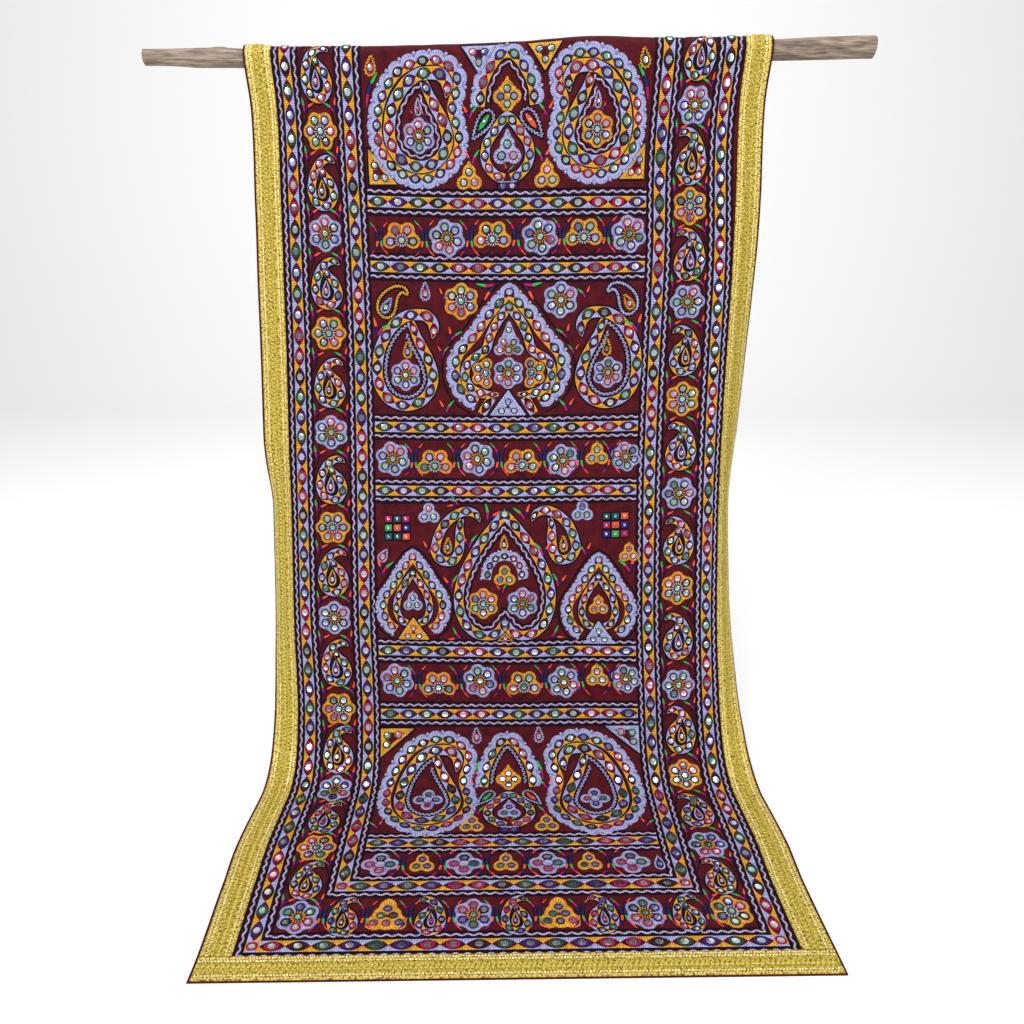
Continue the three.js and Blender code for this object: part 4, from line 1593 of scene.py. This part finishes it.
def shape_branch(mesh):
    points = np.empty(len(mesh.vertices) * 3)
    mesh.vertices.foreach_get("co", points)
    points = points.reshape(-1, 3) / MM
    x = points[:, 0]
    angle = np.arctan2(points[:, 2], points[:, 1])
    radius = read(POLE_STATIONS, "radius", x)
    radius *= 1 + 0.035 * np.cos(2 * angle + 0.004 * x) + 0.02 * np.cos(3 * angle - 0.006 * x + 1)
    radius += 0.35 * np.sin(11 * angle + 0.9 * np.sin(x / 71)) * np.sin(x / 43 + 2 * np.sin(angle))
    radius += 0.22 * np.sin(23 * angle + 1.4 * np.sin(x / 33 + angle))
    for height, middle, reach, around, spread, both_sides in zip(*BRANCH_MARKS.values()):
        turn = np.abs(angle) if both_sides else angle
        radius += height * np.exp(-((x - middle) / reach) ** 2 - ((turn - around) / spread) ** 2)
    points[:, 1] = radius * np.cos(angle)
    points[:, 2] = read(POLE_STATIONS, "rise", x) + radius * np.sin(angle)
    mesh.vertices.foreach_set("co", (points * MM).astype(np.float32).ravel())
    mesh.update()


shape_branch(branch.data)
soften(branch, 60)
stand_for(branch, "pole")
print("pole", len(branch.data.polygons), "faces")

# %% [markdown]
# Finishes. Cloth and thread share one group that gives the small changes of a hand-worked surface:
# a colour that turns deeper along the waves of stitch or weave and in soft clouds, partly the thread's
# own uneven tone and partly painted shade of the stitch relief and the cloth's creases, and a height
# for weave or stitch along the piece's own UV map. A few short helpers place nodes, each with its
# values and links in one call.

# %% Place nodes, with their values and links
def node(tree, kind, inputs=(), **settings):
    """Adds a node. Each input is given a value, or another node's socket to be linked to."""
    made = tree.nodes.new(kind)
    for key, value in settings.items():
        setattr(made, key, value)
    for key, value in dict(inputs).items():
        if isinstance(value, bpy.types.NodeSocket):
            tree.links.new(value, made.inputs[key])
        else:
            made.inputs[key].default_value = value
    return made


def noise(tree, vector, scale, detail, roughness=0.5):
    inputs = {"Vector": vector, "Scale": scale, "Detail": detail, "Roughness": roughness}
    return node(tree, "ShaderNodeTexNoise", inputs).outputs["Fac"]


def maths(tree, operation, *inputs, clamp=False):
    return node(tree, "ShaderNodeMath", enumerate(inputs), operation=operation, use_clamp=clamp).outputs[0]


def mixed(tree, factor, first, second):
    inputs = {"Factor": factor, "A": first, "B": second}
    return node(tree, "ShaderNodeMix", inputs, data_type="RGBA").outputs["Result"]


def ramp(tree, value, stops):
    """A colour ramp. stops gives its colours by their place."""
    made = node(tree, "ShaderNodeValToRGB", {"Fac": value})
    elements = made.color_ramp.elements
    places = sorted(stops)
    elements[0].position, elements[1].position = places[0], places[-1]
    for place in places[1:-1]:
        elements.new(place)
    for element, place in zip(elements, places):
        element.color = opaque(stops[place])
    return made.outputs["Color"]


def opaque(colour):
    return (*colour, 1.0)


def uv_of(tree):
    return node(tree, "ShaderNodeUVMap", uv_map="UVMap").outputs["UV"]


def dye_of(tree):
    return node(tree, "ShaderNodeAttribute", attribute_name="dye").outputs["Color"]


def give_relief(tree, shader, height, strength, distance):
    inputs = {"Height": height, "Strength": strength, "Distance": distance}
    tree.links.new(node(tree, "ShaderNodeBump", inputs).outputs["Normal"], shader.inputs["Normal"])


def new_material(name, roughness=0.6, metallic=0.0, **more):
    """A material with its shader's plain values. In more, an underscore stands for a space."""
    material = bpy.data.materials.new(name)
    material.use_nodes = True
    shader = material.node_tree.nodes["Principled BSDF"]
    plain = {"Roughness": roughness, "Metallic": metallic}
    plain.update({label.replace("_", " "): value for label, value in more.items()})
    for label, value in plain.items():
        shader.inputs[label].default_value = value
    return material, material.node_tree, shader


# %% The shared group of thread and cloth
WAVE_SCALE = 0.3183
STITCH_SHARE = 0.45
SHADE_CENTRE = 1.05


def tone_and_shade_group():
    group = bpy.data.node_groups.new("thread tone and painted shade", "ShaderNodeTree")
    asked = {"Coordinates": ("Vector", (0, 0, 0)), "Stitches per metre": ("Float", 400.0),
             "Shade change": ("Float", 0.25), "Colour": ("Color", (1, 1, 1, 1)),
             "Deep tone and shade colour": ("Color", (0, 0, 0, 1))}
    for label, (kind, value) in asked.items():
        socket = group.interface.new_socket(name=label, in_out="INPUT", socket_type="NodeSocket" + kind)
        socket.default_value = value
    for label, kind in {"Colour": "Color", "Height": "Float"}.items():
        group.interface.new_socket(name=label, in_out="OUTPUT", socket_type="NodeSocket" + kind)
    given = group.nodes.new("NodeGroupInput").outputs
    place = given["Coordinates"]
    stitches = maths(group, "MULTIPLY", given["Stitches per metre"], WAVE_SCALE)
    wave = node(group, "ShaderNodeTexWave",
                {"Vector": place, "Scale": stitches, "Distortion": 1.5, "Detail": 1.0, "Detail Scale": 2.0},
                wave_type="BANDS", bands_direction="X", wave_profile="SIN").outputs["Fac"]
    height = maths(group, "MULTIPLY_ADD", wave, STITCH_SHARE, noise(group, place, 330.0, 3.0))
    # The deep colour is mixed in along the stitch waves and in soft clouds: partly the thread's uneven tone,
    # partly painted shade of the stitch relief.
    shade = maths(group, "ADD", height, noise(group, place, 55.0, 4.0))
    centred = maths(group, "SUBTRACT", shade, SHADE_CENTRE)
    amount = maths(group, "MULTIPLY", centred, given["Shade change"], clamp=True)
    colour = mixed(group, amount, given["Colour"], given["Deep tone and shade colour"])
    node(group, "NodeGroupOutput", {"Colour": colour, "Height": height})
    return group


THREAD_TONE_AND_SHADE = tone_and_shade_group()
DARKEST_TONE_AND_SHADE = (0.004, 0.002, 0.006, 1)
DARKEST_TONE_AND_SHADE_SHARE = 0.6


# %% Thread and cloth materials
def thread_material(name, colour=None, deep=None, stitches=330.0, change=2.4, bump=0.9, roughness=0.7,
                    gloss=0.14, sheen=0.02, creases=0.0):
    """Thread in one colour, or in the dyes of its piece if no colour is given."""
    material, tree, shader = new_material(name, roughness, Specular_IOR_Level=gloss, Sheen_Weight=sheen,
                                          Sheen_Roughness=0.4)
    place = uv_of(tree)
    if colour is None:
        # For dyed threads the deep colour is the dye drawn towards near black, for uneven tone and painted
        # shade.
        colour = dye_of(tree)
        deep = mixed(tree, DARKEST_TONE_AND_SHADE_SHARE, colour, DARKEST_TONE_AND_SHADE)
    else:
        colour, deep = opaque(colour), opaque(deep)
    asked = {"Coordinates": place, "Stitches per metre": stitches, "Shade change": change,
             "Colour": colour, "Deep tone and shade colour": deep}
    tone_and_shade = node(tree, "ShaderNodeGroup", asked, node_tree=THREAD_TONE_AND_SHADE)
    tree.links.new(tone_and_shade.outputs["Colour"], shader.inputs["Base Color"])
    crease = noise(tree, place, 75.0, 3.0)
    height = maths(tree, "MULTIPLY_ADD", crease, creases, tone_and_shade.outputs["Height"])
    give_relief(tree, shader, height, bump, 0.0009)
    return material


def dress(piece, material):
    piece.data.materials.clear()
    piece.data.materials.append(material)


# Each deep colour below is mixed in by the shared group: partly the thread's uneven tone, partly painted
# shade of the stitch relief.
dress(sewn["wave"], thread_material("pale lilac cord", (0.47, 0.43, 0.62), (0.15, 0.11, 0.24)))
dress(sewn["lilac"], thread_material("lilac chain stitch", (0.38, 0.41, 0.62), (0.10, 0.10, 0.24)))
dress(sewn["orange"], thread_material("orange chain stitch", (0.70, 0.355, 0.030), (0.24, 0.085, 0.004)))
dress(sewn["outline"], thread_material("dark couched cord", (0.006, 0.003, 0.010), (0.002, 0.001, 0.003),
                                       gloss=0.08, sheen=0.0))
dress(sewn["bright"], thread_material("dyed satin stitch"))
dress(sewn["ring"], thread_material("dyed buttonhole stitch", stitches=700))
# The maroon's deep colour, at a high shade change, is partly uneven tone and partly painted shade of the
# cloth's creases and weave.
dress(cloth, thread_material("maroon cotton satin", (0.090, 0.0060, 0.0105), (0.016, 0.0015, 0.0040),
                             stitches=900, change=2.0, bump=0.5, roughness=0.75, gloss=0.08, creases=5.0))

# %% [markdown]
# The mirrors are thin blown glass, silvered behind: a little green, with darker blotches over the glass, and
# each as bright as its painted reflection tone, from white to dim.
# The lace is metal thread: dyed fibre with a little metal in it, and a rough, broken surface. Its
# spangles are smoother and paler.

# %% Glass and gold
def glass_material():
    material, tree, shader = new_material("silvered glass", 0.14, 1.0)
    place = node(tree, "ShaderNodeTexCoord").outputs["Object"]
    # Darker grey-green blotches over the glass, mixed over each disc's painted reflection tone.
    dark_blotches = maths(tree, "MULTIPLY_ADD", noise(tree, place, 320.0, 2.0), 1.6, -0.62, clamp=True)
    colour = mixed(tree, dark_blotches, dye_of(tree), (0.30, 0.36, 0.34, 1))
    tree.links.new(colour, shader.inputs["Base Color"])
    return material


def gold_material(name, colour, deep, roughness, scale, bump, metallic):
    material, tree, shader = new_material(name, roughness, metallic, Specular_IOR_Level=0.2)
    grain = noise(tree, uv_of(tree), scale, 3.0)
    tree.links.new(ramp(tree, grain, {0.36: deep, 0.6: colour}), shader.inputs["Base Color"])
    give_relief(tree, shader, grain, bump, 0.001)
    return material


dress(sewn["glass"], glass_material())
gold = gold_material("gold metal thread", (0.58, 0.42, 0.06), (0.13, 0.070, 0.002), 0.5, 240, 0.9, 0.15)
for strip in laces:
    dress(strip, gold)
dress(sewn["braid"],
      gold_material("gold braid", (0.68, 0.58, 0.12), (0.12, 0.080, 0.002), 0.42, 260, 1.0, 0.2))
dress(sewn["spangle"],
      gold_material("pale spangles", (0.94, 0.88, 0.50), (0.46, 0.36, 0.06), 0.25, 240, 0.2, 0.5))


# %% Weathered wood
def wood_material():
    material, tree, shader = new_material("weathered wood", 0.82)
    place = node(tree, "ShaderNodeTexCoord").outputs["Object"]
    along = node(tree, "ShaderNodeMapping", {"Vector": place, "Scale": (6.0, 60.0, 60.0)}).outputs["Vector"]
    grain = noise(tree, along, 4.0, 7.0, 0.65)
    tones = {0.34: (0.07, 0.047, 0.032), 0.5: (0.20, 0.15, 0.11), 0.66: (0.36, 0.29, 0.22)}
    tree.links.new(ramp(tree, grain, tones), shader.inputs["Base Color"])
    give_relief(tree, shader, grain, 0.8, 0.002)
    return material


dress(branch, wood_material())

# %% [markdown]
# The stage: a pale floor that curves up into a pale wall behind, soft lights, and a camera at the
# height and tilt that give the cloth its long foreshortened run towards the viewer.

# %% Floor and backdrop
FLOOR_SIZE = (14, 9, 1)
FLOOR_GAP = 0.0006
CURVE_STEPS, CURVE_STEP = 8, 0.22
WALL_HEIGHT = 5
deselect()
bpy.ops.mesh.primitive_plane_add(size=1, location=(0, -1.0, cad_box[0][2] - FLOOR_GAP))
floor = bpy.context.object
floor.name = "studio_floor"
edit()
bpy.ops.transform.resize(value=FLOOR_SIZE)
bpy.ops.mesh.select_all(action="DESELECT")
leave()
for edge in floor.data.edges:
    edge.select = all(floor.data.vertices[index].co.y > 0 for index in edge.vertices)
bpy.ops.object.mode_set(mode="EDIT")
for k in range(CURVE_STEPS):
    bpy.ops.mesh.extrude_region_move()
    tilt = math.radians(90 * (k + 0.5) / CURVE_STEPS)
    bpy.ops.transform.translate(value=(0, CURVE_STEP * math.cos(tilt), CURVE_STEP * math.sin(tilt)))
bpy.ops.mesh.extrude_region_move()
bpy.ops.transform.translate(value=(0, 0, WALL_HEIGHT))
leave()
bpy.ops.object.shade_smooth()
stage_look, _, stage_shader = new_material("pale stage", 0.9, Specular_IOR_Level=0.1)
stage_shader.inputs["Base Color"].default_value = (0.92, 0.92, 0.92, 1)
dress(floor, stage_look)

# %% Lights
LIGHTS = {
    "key_light": {"place": (-2.0, -3.0, 1.8), "aim": (0, -0.2, -0.6), "size": 2.2, "power": 110},
    "fill_light": {"place": (2.4, -2.6, 1.0), "aim": (0, -0.2, -0.6), "size": 2.5, "power": 60},
    "top_light": {"place": (0, -0.6, 2.4), "aim": (0, -0.4, -1.2), "size": 2.5, "power": 45},
    "wall_light": {"place": (0, 1.0, 3.0), "aim": (0, 4.4, 0.2), "size": 3.0, "power": 45},
}
for name, lamp in LIGHTS.items():
    data = bpy.data.lights.new(name, "AREA")
    data.shape, data.size, data.energy = "SQUARE", lamp["size"], lamp["power"]
    light = bpy.data.objects.new(name, data)
    bpy.context.scene.collection.objects.link(light)
    light.location = lamp["place"]
    way = np.array(lamp["aim"], float) - np.array(lamp["place"], float)
    light.rotation_euler = (math.acos(-way[2] / np.linalg.norm(way)), 0,
                            math.atan2(way[1], way[0]) - math.pi / 2)
world = bpy.data.worlds.new("studio")
bpy.context.scene.world = world
world.use_nodes = True
world.node_tree.nodes["Background"].inputs["Color"].default_value = (1, 1, 1, 1)
world.node_tree.nodes["Background"].inputs["Strength"].default_value = 0.55
bpy.context.scene.view_settings.view_transform = "Standard"

# %% Camera
FOCAL_PIXELS, PICTURE_PIXELS, SENSOR = 800.0, 1024.0, 36.0
CAMERA_PLACE = (0.006, -1.536, -0.3232)
CAMERA_DIP = 18
camera_data = bpy.data.cameras.new("camera")
camera_data.sensor_width = SENSOR
camera_data.lens = SENSOR * FOCAL_PIXELS / PICTURE_PIXELS
camera = bpy.data.objects.new("camera", camera_data)
bpy.context.scene.collection.objects.link(camera)
camera.location = CAMERA_PLACE
camera.rotation_euler = (math.radians(90 - CAMERA_DIP), 0, 0)
bpy.context.scene.camera = camera
